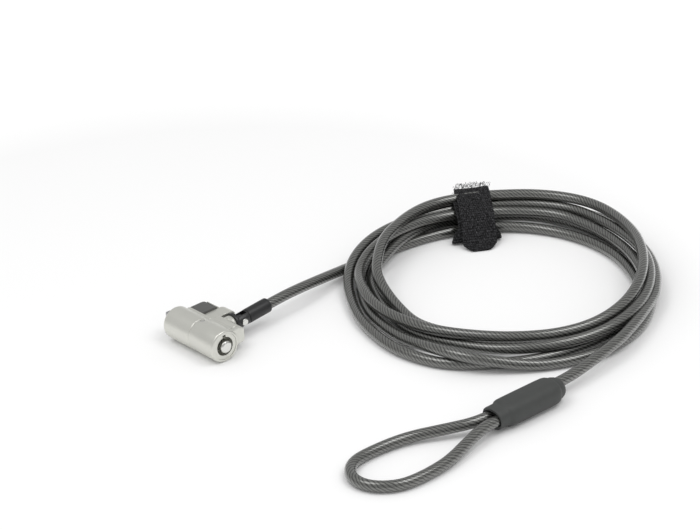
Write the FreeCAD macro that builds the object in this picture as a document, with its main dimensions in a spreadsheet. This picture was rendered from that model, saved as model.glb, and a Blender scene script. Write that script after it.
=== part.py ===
import FreeCAD, Part
import math
import os
import re
import Sketcher
from FreeCAD import Placement, Rotation, Vector

# Laptop cable lock: a barrel lock on a swivel, with a coiled steel cable and an eye.
# The origin is on the barrel's axis at the face that seats against the laptop.
# +X runs out of the laptop along the barrel, +Y towards the cable, +Z up. Millimetres.

doc = FreeCAD.newDocument("cable_lock")
sheet = doc.addObject("Spreadsheet::Sheet", "Sizes")

# Driving dimensions
SIZES = [
    ("fit_gap", 0.03, "radial clearance of a fixed fit"),
    ("run_gap", 0.05, "radial clearance of a fit that turns"),
    ("barrel_radius", 6.75, "outside of the barrel"),
    ("barrel_length", 32.2, "seat face to front face"),
    ("casing_length", 15.2, "front casing with its seam"),
    ("seam_gap", 0.15, "open seam at the split"),
    ("rear_wall", 3.0, "wall behind the seat face"),
    ("rear_round", 1.6, "rounding of the barrel's rear edge"),
    ("front_round", 0.8, "rounding of the barrel's front edge"),
    ("casing_wall", 1.15, "front casing's wall"),
    ("shell_wall", 0.7, "lock shell round the chamber"),
    ("shell_past_shear", 10.0, "lock shell behind the plane between plug and block"),
    ("shell_inset", 0.2, "lock shell behind the front face"),
    ("keyway_step", 0.95, "key groove's outer wall inside the chamber"),
    ("keyway_depth", 6.1, "depth of the key groove"),
    ("key_notch_width", 1.5, "notch for the key's guide"),
    ("key_notch_bite", 1.05, "notch outside the key groove"),
    ("key_notch_depth", 4.0, "notch's depth"),
    ("post_radius", 2.6, "centre post in the key groove"),
    ("post_proud", 1.2, "post in front of the barrel"),
    ("post_round", 1.0, "rounding of the post's end"),
    ("lock_depth", 11.2, "front face to the plane between plug and pin block"),
    ("shear_gap", 0.05, "clearance at that plane"),
    ("pin_count", 7, "pins round the plug"),
    ("pin_circle_radius", 3.25, "circle that the pins lie on"),
    ("pin_radius", 0.55, "key pin and driver pin"),
    ("key_pin_length", 4.2, "pin in the plug"),
    ("driver_length", 2.9, "pin in the block"),
    ("pin_hole_depth", 7.0, "blind holes in the pin block"),
    ("spring_radius", 0.36, "middle of the spring's wire from its axis"),
    ("spring_wire_radius", 0.1, "spring wire"),
    ("spring_room", 0.725, "hole left over at the spring's ends"),
    ("spring_turns", 4.5, "turns in one spring"),
    ("block_length", 8.8, "pin block"),
    ("spindle_radius", 1.9, "drive spindle"),
    ("spindle_rear_x", 4.1, "rear end of the drive spindle"),
    ("tang_side", 2.3, "square tang on the spindle"),
    ("tang_length", 2.4, "tang in the plug"),
    ("shank_radius", 1.25, "shank of the T-bar"),
    ("shank_in_spindle", 2.4, "shank in the spindle's socket"),
    ("nose_reach", 4.4, "T-bar past the seat face"),
    ("nose_thickness", 1.6, "thickness of the T"),
    ("nose_width", 2.7, "narrow side of the T, for a 3 mm slot"),
    ("nose_height", 5.9, "long side of the T, for a 7 mm slot"),
    ("bush_radius", 1.75, "bush in the rear wall"),
    ("bush_flange_radius", 3.0, "bush flange inside the wall"),
    ("bush_flange_thickness", 0.6, "bush flange"),
    ("guide_radius", 0.6, "guide pins beside the T"),
    ("guide_offset", 2.45, "guide pins from the axis"),
    ("guide_reach", 2.0, "guide pins past the seat face"),
    ("guide_embed", 2.0, "guide pins in the wall"),
    ("cavity_radius", 4.95, "space round the cam disc"),
    ("cam_radius", 4.6, "cam disc"),
    ("cam_setback", 5.3, "cam disc's rear face behind the pin block"),
    ("cam_thickness", 2.2, "cam disc"),
    ("cam_slot_radius", 3.0, "inner wall of the stop slot"),
    ("stop_orbit", 3.9, "stop pin from the axis"),
    ("stop_radius", 0.7, "stop pin"),
    ("stop_embed", 1.5, "stop pin in the rear wall"),
    ("lock_travel", 90.0, "turn of the lock, degrees"),
    ("stop_play", 1.5, "play at each end of the turn, degrees"),
    ("clip_setback", 2.6, "retaining clip's rear face behind the pin block"),
    ("clip_thickness", 0.7, "retaining clip"),
    ("clip_radius", 3.3, "outside of the retaining clip"),
    ("clip_groove_radius", 1.45, "groove of the retaining clip"),
    ("clip_mouth", 2.4, "opening of the retaining clip"),
    ("shell_pin_setback", 2.4, "pin that holds the lock, behind the plug"),
    ("shell_pin_radius", 1.0, "that pin"),
    ("shell_pin_low", 4.0, "lower end of that pin"),
    ("shell_pin_sink", 0.04, "pin's top below the barrel's surface"),
    ("shoulder_side", 7.6, "side of the flat shoulder"),
    ("shoulder_top", 3.7, "top of the flat shoulder"),
    ("shoulder_bottom", -4.8, "bottom of shoulder and rail"),
    ("arm_rear_x", 8.0, "arm's face behind the pad"),
    ("arm_front_x", 14.3, "arm's front face"),
    ("arm_far_y", 21.0, "arm's far side"),
    ("arm_top", 2.5, "arm's top"),
    ("arm_bottom", -5.4, "arm's bottom"),
    ("arm_round", 4.3, "rounding of the arm's far top edge"),
    ("arm_foot_round", 2.0, "rounding of the arm's far bottom edge"),
    ("arm_side_round", 2.5, "rounding of the arm's upright edge, room for the cable to swing"),
    ("rail_setback", 5.6, "end of rail and tube behind the front face"),
    ("rail_far_y", 12.6, "far side of the rail"),
    ("rail_top", 3.3, "top of the rail beside the barrel"),
    ("rail_top_side", 8.4, "side of that top"),
    ("tube_y", 10.3, "axis of the small tube"),
    ("tube_z", 1.0, "axis of the small tube"),
    ("tube_radius", 2.3, "outside of the small tube"),
    ("casing_gap", 0.04, "rail beside the front casing"),
    ("cap_seam", 0.05, "seam behind the tube's end cap"),
    ("cap_length", 2.4, "tube's end cap"),
    ("cap_near_y", 6.0, "near side of the cap"),
    ("cap_far_y", 12.4, "far side of the cap"),
    ("cap_top", 3.0, "top of the cap"),
    ("cap_bottom", -3.6, "bottom of the cap"),
    ("cap_round", 1.5, "rounding of the cap's far edges"),
    ("neck_radius", 3.6, "neck round the swivel stud"),
    ("neck_end_y", 14.3, "face that the flange turns on"),
    ("swivel_x", 18.8, "axis of the swivel, along Y"),
    ("swivel_z", -0.3, "height of that axis"),
    ("stud_radius", 1.9, "swivel stud"),
    ("stud_tip_y", 7.4, "inner end of the stud"),
    ("stud_groove_radius", 1.1, "stud in its groove"),
    ("swivel_pin_radius", 0.6, "pin that runs in the groove"),
    ("flange_gap", 0.1, "clearance behind the flange"),
    ("flange_radius", 4.3, "yoke flange"),
    ("flange_thickness", 1.2, "yoke flange"),
    ("tongue_half", 1.15, "half thickness of the yoke's tongue"),
    ("tongue_height_half", 2.2, "half height of the tongue"),
    ("rivet_y", 18.7, "rivet's axis, along X"),
    ("rivet_radius", 0.95, "rivet's shank"),
    ("rivet_head_radius", 1.5, "rivet's head"),
    ("rivet_head_height", 0.6, "rivet's head"),
    ("rivet_head_round", 0.42, "rounding of the rivet's head"),
    ("cable_tilt", 5.0, "cable end leaves the rivet upwards, degrees"),
    ("fork_radius", 3.0, "outside of the fork"),
    ("ear_radius", 2.9, "ends of the fork's ears"),
    ("ear_half", 2.8, "fork's flat sides from its middle"),
    ("ear_inner_half", 1.25, "fork's slot from its middle"),
    ("slot_bottom", 2.6, "fork's slot past the rivet"),
    ("fork_step", 3.2, "step where the sleeve begins"),
    ("socket_radius", 2.75, "fork's socket under the sleeve"),
    ("socket_start", 5.5, "cable's end from the rivet"),
    ("socket_end", 12.0, "socket's mouth from the rivet"),
    ("sleeve_radius", 3.1, "strain sleeve"),
    ("sleeve_end", 14.6, "sleeve's end from the rivet"),
    ("sleeve_round", 1.3, "rounding of the sleeve's end"),
    ("cable_radius", 2.2, "cable with its jacket"),
    ("floor_gap", 0.05, "cable above the table"),
    ("coil_x", 72.1, "centre of the coil"),
    ("coil_y", 113.9, "centre of the coil"),
    ("coil_start_radius", 63.0, "cable's middle at the coil's start"),
    ("coil_start_angle", 180.0, "start of the coil, degrees from +X"),
    ("coil_end_angle", 20.0, "end of the coil, degrees from +X"),
    ("coil_full_turns", 5, "whole turns, besides the part turn"),
    ("coil_inward_turns", 2.4, "turns wound inwards in the lower layer"),
    ("lane_step", 5.1, "one turn beside the next"),
    ("layer_step", 5.1, "upper layer above the lower"),
    ("strap_angle", 146.0, "place of the strap, degrees from +X"),
    ("strap_width", 15.0, "strap along the cable"),
    ("strap_thickness", 1.2, "strap"),
    ("strap_lift", 1.4, "coil raised by the strap under it"),
    ("strap_inner_near", 47.4, "strap's inside towards the coil's centre"),
    ("strap_inner_far", 71.6, "strap's inside away from the centre"),
    ("strap_inner_top", 15.1, "strap's inside above the table"),
    ("strap_inner_shoulder", 9.0, "strap's inside where its top starts to rise"),
    ("strap_slope", 17.0, "run of that rise"),
    ("strap_tab_reach", 7.0, "tab laid down inside the ring"),
    ("strap_tab_turn_reach", 2.3, "under the tab's bend, from the strap's inside"),
    ("strap_tab_turn_height", 3.0, "under the tab's bend, above the table"),
    ("strap_tab_back_reach", 3.8, "over the tab's bend, from the strap's inside"),
    ("strap_tab_back_height", 3.9, "over the tab's bend, above the table"),
    ("strap_inner_round", 2.6, "strap's inside corners"),
    ("ferrule_x", 147.9, "loop end of the ferrule"),
    ("ferrule_y", 33.5, "loop end of the ferrule"),
    ("ferrule_heading", 2.5, "ferrule turned from +Y towards +X, degrees"),
    ("ferrule_length", 34.2, "ferrule cover"),
    ("cover_half_width", 6.3, "ferrule cover"),
    ("cover_half_height", 5.0, "ferrule cover"),
    ("collar_share", 0.84, "cover's mouth at the loop against its middle"),
    ("tail_share", 0.7, "cover's mouth at the coil against its middle"),
    ("collar_length", 3.4, "straight mouth at the loop"),
    ("taper_length", 2.2, "step from mouth to middle"),
    ("crimp_inset", 4.6, "crimp behind each end of the cover"),
    ("crimp_radius", 3.15, "rounded sides of the crimp"),
    ("crimp_side_wall", 0.8, "crimp beside each strand"),
    ("strand_half", 2.3, "strand's middle from the ferrule's axis"),
    ("mouth_run", 6.0, "straight stretch of each strand past the cover"),
    ("eye_reach", 60.0, "eye past the cover's mouth"),
    ("eye_half_width", 15.0, "eye to each side of the ferrule's axis"),
    ("lead_straight", 6.4, "cable straight out of the sleeve"),
    ("lead_last_run", 15.0, "lead's last run before the coil"),
    ("tail_first_run", 12.0, "tail's first run after the coil"),
    ("tail_last_run", 8.5, "tail straight into the ferrule"),
    ("pad_rear_x", 0.3, "pad behind the seat face"),
    ("pad_near_gap", 0.1, "pad beside the shoulder"),
    ("pad_far_y", 17.0, "pad's far side"),
    ("pad_top", 3.4, "pad's top"),
    ("pad_bottom", -5.2, "pad's bottom"),
    ("pad_round", 3.5, "rounding of the pad's far top edge"),
    ("pad_clip_rear_x", 1.5, "clip on the pad"),
    ("pad_clip_thickness", 0.5, "clip on the pad"),
    ("pad_clip_start", 58.0, "clip's upper end on the rounding, degrees"),
    ("pad_clip_bottom", -4.0, "clip's lower end"),
]

# Dimensions that follow from the driving ones
FOLLOWING = [
    ("split_x", "barrel_length - casing_length", "seam between rear housing and front casing"),
    ("shell_radius", "barrel_radius - casing_wall", "outside of the lock shell"),
    ("chamber_radius", "shell_radius - shell_wall", "bore that the plug turns in"),
    ("keyway_radius", "chamber_radius - keyway_step", "outer wall of the key groove"),
    ("key_notch_reach", "keyway_radius + key_notch_bite", "notch's outer end from the axis"),
    ("shear_x", "barrel_length - lock_depth", "plane between plug and pin block"),
    ("shell_rear_x", "shear_x - shell_past_shear", "rear end of the lock shell"),
    ("shell_pin_x", "shear_x - shell_pin_setback", "axis of the pin that holds the lock"),
    ("block_rear_x", "shear_x - block_length", "rear face of the pin block"),
    ("cam_rear_x", "block_rear_x - cam_setback", "rear face of the cam disc"),
    ("clip_rear_x", "block_rear_x - clip_setback", "rear face of the retaining clip"),
    ("spring_pitch", "(pin_hole_depth - driver_length - spring_room) / spring_turns", "rise of one turn"),
    ("rail_end_x", "barrel_length - rail_setback", "front end of rail and tube"),
]

for row, (alias, number, note) in enumerate(SIZES, start=1):
    sheet.set("A%d" % row, note)
    sheet.set("B%d" % row, str(number))
    sheet.setAlias("B%d" % row, alias)
doc.recompute()
for row, (alias, formula, note) in enumerate(FOLLOWING, start=len(SIZES) + 1):
    sheet.set("A%d" % row, note)
    sheet.set("B%d" % row, "=" + formula)
    sheet.setAlias("B%d" % row, alias)
doc.recompute()

ALIASES = {alias for alias, value, note in SIZES + FOLLOWING}
ALONG_X = Rotation(Vector(0, 1, 0), 90)
ALONG_Y = Rotation(Vector(1, 0, 0), -90)
UPRIGHT = Rotation()
pieces = []


def size(alias):
    """A size from the sheet as a number."""
    return float(getattr(sheet, alias))


def in_sheet(text):
    """Turn the aliases in an expression into references to the sheet."""
    return re.sub(r"[a-z][a-z0-9_]*",
                  lambda word: "Sizes." + word.group() if word.group() in ALIASES else word.group(),
                  str(text))


def bind(thing, field, text):
    thing.setExpression(field, in_sheet(text))


def place(thing, at, turn=UPRIGHT):
    """Put a thing at three expressions, turned by a fixed rotation."""
    thing.Placement = Placement(Vector(), turn)
    for axis, text in zip("xyz", at):
        bind(thing, "Placement.Base." + axis, text)
    return thing


def piece(label, thing):
    """A finished sub-part: its label names its file."""
    thing.Label = label
    pieces.append((label, thing))
    return thing


def rod(name, at, radius, length, turn=ALONG_X):
    """Round bar from a point along X, or along the turned axis."""
    bar = doc.addObject("Part::Cylinder", name)
    bind(bar, "Radius", radius)
    bind(bar, "Height", length)
    return place(bar, at, turn)


def block(name, low, high):
    """Square block between two corners."""
    box = doc.addObject("Part::Box", name)
    for field, start, end in zip(("Length", "Width", "Height"), low, high):
        bind(box, field, "(%s) - (%s)" % (end, start))
    return place(box, low)


def fuse(name, *things):
    joined = doc.addObject("Part::MultiFuse", name)
    joined.Shapes = list(things)
    joined.Refine = True
    return joined


def cut(name, base, *tools):
    """Base less one or more tools."""
    removed = doc.addObject("Part::Cut", name)
    removed.Base = base
    removed.Tool = tools[0] if len(tools) == 1 else fuse(name + "_tools", *tools)
    return removed


def common(name, first, second):
    shared = doc.addObject("Part::Common", name)
    shared.Base = first
    shared.Tool = second
    return shared


def edge_numbers(shape, wanted):
    """Numbers of the edges whose middle point passes a test."""
    found = []
    for number, edge in enumerate(shape.Edges, start=1):
        middle = edge.valueAt((edge.FirstParameter + edge.LastParameter) / 2)
        if wanted(edge, middle):
            found.append(number)
    return found


def rounded(name, base, radius, wanted):
    """Round the edges that pass a test."""
    doc.recompute()
    soft = doc.addObject("Part::Fillet", name)
    soft.Base = base
    numbers = edge_numbers(base.Shape, wanted)
    if not numbers:
        raise RuntimeError("no edge to round on " + name)
    soft.Edges = [(number, radius, radius) for number in numbers]
    return soft


def origin_plane(body, role):
    return [plane for plane in body.Origin.OriginFeatures if plane.Role == role][0]


def closed_sketch(body, name, role, corners, offset="0"):
    """Sketch of straight sides through corners that are pairs of expressions."""
    sketch = body.newObject("Sketcher::SketchObject", name)
    sketch.AttachmentSupport = [(origin_plane(body, role), "")]
    sketch.MapMode = "FlatFace"
    bind(sketch, "AttachmentOffset.Base.z", offset)
    add_loop(sketch, corners)
    return sketch


def add_loop(sketch, corners):
    """One closed loop of straight sides, each corner held by two bound distances."""
    first = sketch.GeometryCount
    guess = [(math.cos(2 * math.pi * k / len(corners)), math.sin(2 * math.pi * k / len(corners)))
             for k in range(len(corners))]
    for k in range(len(corners)):
        start = Vector(*guess[k], 0)
        end = Vector(*guess[(k + 1) % len(corners)], 0)
        sketch.addGeometry(Part.LineSegment(start, end))
    for k in range(len(corners)):
        follower = first + (k + 1) % len(corners)
        sketch.addConstraint(Sketcher.Constraint("Coincident", first + k, 2, follower, 1))
    for k, corner in enumerate(corners):
        for kind, text, value in zip(("DistanceX", "DistanceY"), corner, guess[k]):
            number = sketch.addConstraint(Sketcher.Constraint(kind, -1, 1, first + k, 1, value))
            bind(sketch, "Constraints[%d]" % number, text)


def turned(name, outline):
    """Turned piece: an outline of distances along X and radii, revolved about the X axis."""
    body = doc.addObject("PartDesign::Body", name)
    sketch = closed_sketch(body, name + "_outline", "XY_Plane", outline)
    spin = body.newObject("PartDesign::Revolution", name + "_turned")
    spin.Profile = sketch
    spin.ReferenceAxis = (sketch, ["H_Axis"])
    spin.Angle = 360
    return body


def extruded(name, role, corners, length, offset="0", inner=None, both_ways=False):
    """Sketched outline pushed out by a length from a plane at an offset."""
    body = doc.addObject("PartDesign::Body", name)
    sketch = closed_sketch(body, name + "_outline", role, corners, offset)
    if inner:
        add_loop(sketch, inner)
    pad = body.newObject("PartDesign::Pad", name + "_pad")
    pad.Profile = sketch
    bind(pad, "Length", length)
    pad.Midplane = both_ways
    return body


def soften(body, radius, wanted):
    """Fillet on a body's own last feature, with its radius bound."""
    doc.recompute()
    tip = body.Tip
    names = ["Edge%d" % number for number in edge_numbers(tip.Shape, wanted)]
    if not names:
        raise RuntimeError("no edge to round on " + body.Name)
    fillet = body.newObject("PartDesign::Fillet", "%s_round_%d" % (body.Name, len(body.Group)))
    fillet.Base = (tip, names)
    bind(fillet, "Radius", radius)
    return body


def near(value, target):
    return abs(value - target) < 1e-4


# Rear housing: barrel half, flat shoulder, arm, rail with its tube, and the swivel's neck
def make_rear_housing():
    barrel = turned("housing_barrel", [
        ("0", "0"), ("0", "barrel_radius"), ("split_x", "barrel_radius"), ("split_x", "0")])
    soften(barrel, "rear_round", lambda edge, middle: near(middle.x, 0))
    shoulder = extruded("housing_shoulder", "YZ_Plane", [
        ("0", "shoulder_bottom"), ("shoulder_side", "shoulder_bottom"),
        ("shoulder_side", "shoulder_top"), ("0", "shoulder_top")], "arm_front_x")
    soften(shoulder, "rear_round / 2", lambda edge, middle: near(middle.x, 0) and middle.y > 1)
    arm = extruded("housing_arm", "YZ_Plane", [
        ("barrel_radius / 2", "arm_bottom"), ("arm_far_y", "arm_bottom"),
        ("arm_far_y", "arm_top"), ("barrel_radius / 2", "arm_top")],
        "arm_front_x - arm_rear_x", "arm_rear_x")
    far_y, top_z, low_z = size("arm_far_y"), size("arm_top"), size("arm_bottom")
    soften(arm, "arm_round", lambda edge, middle: near(middle.y, far_y) and near(middle.z, top_z))
    soften(arm, "arm_foot_round",
           lambda edge, middle: near(middle.y, far_y) and near(middle.z, low_z))
    front_x = size("arm_front_x")
    arm_plan = extruded("housing_arm_plan", "XY_Plane", [
        ("arm_rear_x", "0"), ("arm_front_x", "0"),
        ("arm_front_x", "arm_far_y"), ("arm_rear_x", "arm_far_y")],
        "arm_top - arm_bottom", "arm_bottom")
    soften(arm_plan, "arm_side_round",
           lambda edge, middle: near(middle.x, front_x) and near(middle.y, far_y))
    shaped_arm = common("housing_arm_shaped", arm, arm_plan)
    rail = block("housing_rail", ("arm_front_x - fit_gap", "0", "shoulder_bottom"),
                 ("rail_end_x", "rail_far_y", "tube_z"))
    rail_top = block("housing_rail_top", ("arm_front_x - fit_gap", "0", "0"),
                     ("rail_end_x", "rail_top_side", "rail_top"))
    small_tube = rod("housing_tube", ("arm_front_x - fit_gap", "tube_y", "tube_z"),
                     "tube_radius", "rail_end_x - arm_front_x + fit_gap")
    neck = rod("housing_neck", ("swivel_x", "rail_far_y - swivel_pin_radius", "swivel_z"),
               "neck_radius", "neck_end_y - rail_far_y + swivel_pin_radius", ALONG_Y)
    casting = fuse("housing_casting", barrel, shoulder, shaped_arm, rail, rail_top, small_tube, neck)
    cavities = [
        rod("bore_shell", ("shell_rear_x", "0", "0"), "shell_radius + fit_gap", "split_x"),
        rod("bore_cavity", ("rear_wall", "0", "0"), "cavity_radius", "shell_rear_x - rear_wall + fit_gap"),
        rod("bore_bush", ("-1", "0", "0"), "bush_radius + fit_gap", "rear_wall + 2"),
        rod("bore_casing", ("split_x", "0", "0"), "barrel_radius + casing_gap", "barrel_length"),
        rod("bore_stop", ("rear_wall - stop_embed", "0", "stop_orbit"),
            "stop_radius + fit_gap", "stop_embed + 1"),
        rod("bore_stud", ("swivel_x", "stud_tip_y - run_gap", "swivel_z"),
            "stud_radius + run_gap", "neck_end_y - stud_tip_y + 1", ALONG_Y),
        rod("bore_swivel_pin", ("arm_front_x", "tube_y", swivel_pin_z()),
            "swivel_pin_radius + fit_gap", "rail_end_x - arm_front_x + 1"),
    ]
    for number, side in enumerate(("-guide_offset", "guide_offset")):
        cavities.append(rod("bore_guide_%d" % number, ("-1", side, "0"),
                            "guide_radius + fit_gap", "guide_embed + 1"))
    solid = cut("housing_bored", casting, *cavities)
    return piece("rear_housing", solid)


def swivel_pin_z():
    """Height of the pin that runs in the stud's groove."""
    return "swivel_z + stud_groove_radius + run_gap + swivel_pin_radius"


# Front casing: plain tube with a rounded front edge and the retaining pin's hole
def make_front_casing():
    tube = turned("casing_tube", [
        ("split_x + seam_gap", "shell_radius + fit_gap"), ("split_x + seam_gap", "barrel_radius"),
        ("barrel_length", "barrel_radius"), ("barrel_length", "shell_radius + fit_gap")])
    front, outside = size("barrel_length"), size("barrel_radius")
    soften(tube, "front_round",
           lambda edge, middle: near(middle.x, front) and math.hypot(middle.y, middle.z) > outside - 0.1)
    hole = shell_pin_hole("casing_pin_hole")
    return piece("front_casing", cut("casing_drilled", tube, hole))


def shell_pin_hole(name):
    return rod(name, ("shell_pin_x", "0", "shell_pin_low - fit_gap"),
               "shell_pin_radius + fit_gap", "barrel_radius", UPRIGHT)


# Lock shell: fixed sleeve with the chamber behind and the key groove in front
def make_lock_shell():
    front = "barrel_length - shell_inset"
    step = "barrel_length - shell_inset - keyway_depth"
    sleeve = turned("shell_sleeve", [
        ("shell_rear_x", "chamber_radius"), ("shell_rear_x", "shell_radius"),
        (front, "shell_radius"), (front, "keyway_radius"),
        (step, "keyway_radius"), (step, "chamber_radius")])
    notch = block("shell_notch",
                  ("barrel_length - shell_inset - key_notch_depth", "-key_notch_width / 2", "0"),
                  ("barrel_length", "key_notch_width / 2", "key_notch_reach"))
    return piece("lock_shell", cut("shell_cut", sleeve, notch, shell_pin_hole("shell_pin_seat")))


def pin_angle(number):
    """Pins are spaced evenly, with none at the top."""
    return math.radians(90 + 360 * (number + 0.5) / size("pin_count"))


def pin_ring(name, start, radius, length):
    """One rod for each lock pin, parallel to X."""
    rods = []
    for number in range(int(size("pin_count"))):
        across = "pin_circle_radius * %.12f" % math.cos(pin_angle(number))
        up = "pin_circle_radius * %.12f" % math.sin(pin_angle(number))
        rods.append(rod("%s_%d" % (name, number), (start, across, up), radius, length))
    return rods


def group(name, things):
    """Like pieces that share one node as separate solids."""
    bundle = doc.addObject("Part::Compound", name)
    bundle.Links = things
    return bundle


# Plug with its centre post, and the pins that it carries
def make_lock_plug():
    shoulder = "barrel_length - shell_inset - keyway_depth - shear_gap"
    tip = "barrel_length + post_proud"
    plug = turned("plug_turned", [
        ("shear_x", "0"), ("shear_x", "chamber_radius - run_gap"),
        (shoulder, "chamber_radius - run_gap"), (shoulder, "post_radius"),
        (tip, "post_radius"), (tip, "0")])
    end = size("barrel_length") + size("post_proud")
    soften(plug, "post_round", lambda edge, middle: near(middle.x, end))
    socket = block("plug_socket", ("shear_x - 1", "-tang_side / 2 - fit_gap", "-tang_side / 2 - fit_gap"),
                   ("shear_x + tang_length + fit_gap", "tang_side / 2 + fit_gap", "tang_side / 2 + fit_gap"))
    holes = pin_ring("plug_hole", "shear_x - 1", "pin_radius + fit_gap", "key_pin_length + 1 + fit_gap")
    piece("lock_plug", cut("plug_bored", plug, socket, *holes))
    pins = pin_ring("key_pin", "shear_x + shear_gap / 2", "pin_radius", "key_pin_length - shear_gap / 2")
    piece("key_pins", group("key_pin_group", pins))


# Pin block behind the plug, with its driver pins and springs
def make_pin_block():
    radius = "chamber_radius - fit_gap"
    front = "shear_x - shear_gap"
    bored = turned("block_turned", [
        ("block_rear_x", "spindle_radius + run_gap"), ("block_rear_x", radius),
        (front, radius), (front, "spindle_radius + run_gap")])
    holes = pin_ring("block_hole", front + " - pin_hole_depth", "pin_radius + fit_gap", "pin_hole_depth + 1")
    piece("pin_block", cut("block_bored", bored, shell_pin_hole("block_pin_seat"), *holes))
    drivers = pin_ring("driver_pin", "shear_x - shear_gap - driver_length - shear_gap / 2",
                       "pin_radius", "driver_length")
    piece("driver_pins", group("driver_pin_group", drivers))


# Spindle, T-bar, bush, cam disc, stop and clip
def make_drive():
    groove_start, groove_end = "clip_rear_x - fit_gap", "clip_rear_x + clip_thickness + fit_gap"
    socket_end = "spindle_rear_x + shank_in_spindle + fit_gap"
    bar = turned("spindle_turned", [
        ("spindle_rear_x", "shank_radius + fit_gap"), ("spindle_rear_x", "spindle_radius"),
        (groove_start, "spindle_radius"), (groove_start, "clip_groove_radius"),
        (groove_end, "clip_groove_radius"), (groove_end, "spindle_radius"),
        ("shear_x", "spindle_radius"), ("shear_x", "0"),
        (socket_end, "0"), (socket_end, "shank_radius + fit_gap")])
    tang = block("spindle_tang", ("shear_x - 1", "-tang_side / 2", "-tang_side / 2"),
                 ("shear_x + tang_length", "tang_side / 2", "tang_side / 2"))
    piece("drive_spindle", fuse("spindle_joined", bar, tang))

    head = block("nose_head", ("-nose_reach", "-nose_width / 2", "-nose_height / 2"),
                 ("nose_thickness - nose_reach", "nose_width / 2", "nose_height / 2"))
    soft_head = rounded("nose_rounded", head, size("nose_width") / 4,
                        lambda edge, middle: edge.Length < size("nose_thickness") + 0.01
                        and near(middle.x, size("nose_thickness") / 2 - size("nose_reach")))
    shank = rod("nose_shank", ("nose_thickness / 2 - nose_reach", "0", "0"), "shank_radius",
                "nose_reach - nose_thickness / 2 + spindle_rear_x + shank_in_spindle")
    piece("t_bar", fuse("nose_joined", soft_head, shank))

    inner = "shank_radius + run_gap"
    flange_end = "rear_wall + bush_flange_thickness"
    piece("nose_bush", turned("bush_turned", [
        ("0", inner), ("0", "bush_radius"), ("rear_wall", "bush_radius"),
        ("rear_wall", "bush_flange_radius"), (flange_end, "bush_flange_radius"), (flange_end, inner)]))

    guides = [rod("guide_pin_%d" % number, ("-guide_reach", side, "0"),
                  "guide_radius", "guide_reach + guide_embed")
              for number, side in enumerate(("-guide_offset", "guide_offset"))]
    piece("guide_pins", group("guide_pin_group", guides))

    stop_length = "cam_rear_x + cam_thickness - rear_wall + stop_embed"
    piece("stop_pin", rod("stop_rod", ("rear_wall - stop_embed", "0", "stop_orbit"),
                          "stop_radius", stop_length))

    disc = turned("cam_turned", [
        ("cam_rear_x", "spindle_radius + fit_gap"), ("cam_rear_x", "cam_radius"),
        ("cam_rear_x + cam_thickness", "cam_radius"),
        ("cam_rear_x + cam_thickness", "spindle_radius + fit_gap")])
    piece("cam_disc", cut("cam_cut", disc, stop_slot()))

    ring = turned("clip_turned", [
        ("clip_rear_x", "clip_groove_radius + fit_gap"), ("clip_rear_x", "clip_radius"),
        ("clip_rear_x + clip_thickness", "clip_radius"),
        ("clip_rear_x + clip_thickness", "clip_groove_radius + fit_gap")])
    mouth = block("clip_gap", ("clip_rear_x - 1", "-clip_mouth / 2", "-clip_radius - 1"),
                  ("clip_rear_x + clip_thickness + 1", "clip_mouth / 2", "0"))
    piece("retaining_clip", cut("clip_cut", ring, mouth))

    pin_top = "sqrt(barrel_radius ^ 2 - shell_pin_radius ^ 2) - shell_pin_sink"
    piece("shell_pin", rod("shell_pin_rod", ("shell_pin_x", "0", "shell_pin_low"),
                           "shell_pin_radius", "%s - shell_pin_low" % pin_top, UPRIGHT))


def stop_slot():
    """Sector of the cam disc that the stop pin runs in."""
    half_pin = math.degrees(math.asin(size("stop_radius") / size("stop_orbit")))
    reach = size("lock_travel") + 2 * (half_pin + size("stop_play"))
    start = 90 - size("lock_travel") - half_pin - size("stop_play")
    depth = size("cam_thickness") + 2
    sector = Part.makeCylinder(size("cam_radius") + 1, depth, Vector(), Vector(0, 0, 1), reach)
    core = Part.makeCylinder(size("cam_slot_radius"), depth)
    slot = feature("cam_stop_slot", sector.cut(core))
    about_x = Rotation(Vector(1, 1, 1), 120)
    slot.Placement = Placement(Vector(size("cam_rear_x") - 1, 0, 0),
                               Rotation(Vector(1, 0, 0), start).multiply(about_x))
    return slot


# Pad in the notch beside the shoulder, and the clip on its far edge
def make_pad():
    near_side = "shoulder_side + pad_near_gap"
    pad = extruded("pad_block", "YZ_Plane", [
        (near_side, "pad_bottom"), ("pad_far_y", "pad_bottom"),
        ("pad_far_y", "pad_top"), (near_side, "pad_top")],
        "arm_rear_x - pad_rear_x", "pad_rear_x")
    far_y, top_z = size("pad_far_y"), size("pad_top")
    soften(pad, "pad_round", lambda edge, middle: near(middle.y, far_y) and near(middle.z, top_z))
    piece("guard_pad", pad)

    centre = ("pad_clip_rear_x", "pad_far_y - pad_round", "pad_top - pad_round")
    length = "arm_rear_x - pad_clip_rear_x"
    bend = cut("pad_clip_bend", rod("pad_clip_outer", centre, "pad_round + pad_clip_thickness", length),
               rod("pad_clip_inner", centre, "pad_round + fit_gap", length))
    angle = math.radians(size("pad_clip_start"))
    window = extruded("pad_clip_window", "YZ_Plane", [
        ("pad_far_y - pad_round", "pad_top - pad_round"),
        ("pad_far_y + 2 * pad_round", "pad_top - pad_round"),
        ("pad_far_y + 2 * pad_round", "pad_top - pad_round + 3 * pad_round * %.12f" % math.sin(angle)),
        ("pad_far_y - pad_round + 3 * pad_round * %.12f" % math.cos(angle),
         "pad_top - pad_round + 3 * pad_round * %.12f" % math.sin(angle))],
        length, "pad_clip_rear_x")
    arc = common("pad_clip_arc", bend, window)
    leg = block("pad_clip_leg", ("pad_clip_rear_x", "pad_far_y + fit_gap", "pad_clip_bottom"),
                ("arm_rear_x", "pad_far_y + pad_clip_thickness", "pad_top - pad_round"))
    piece("pad_clip", fuse("pad_clip_joined", arc, leg))


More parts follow.
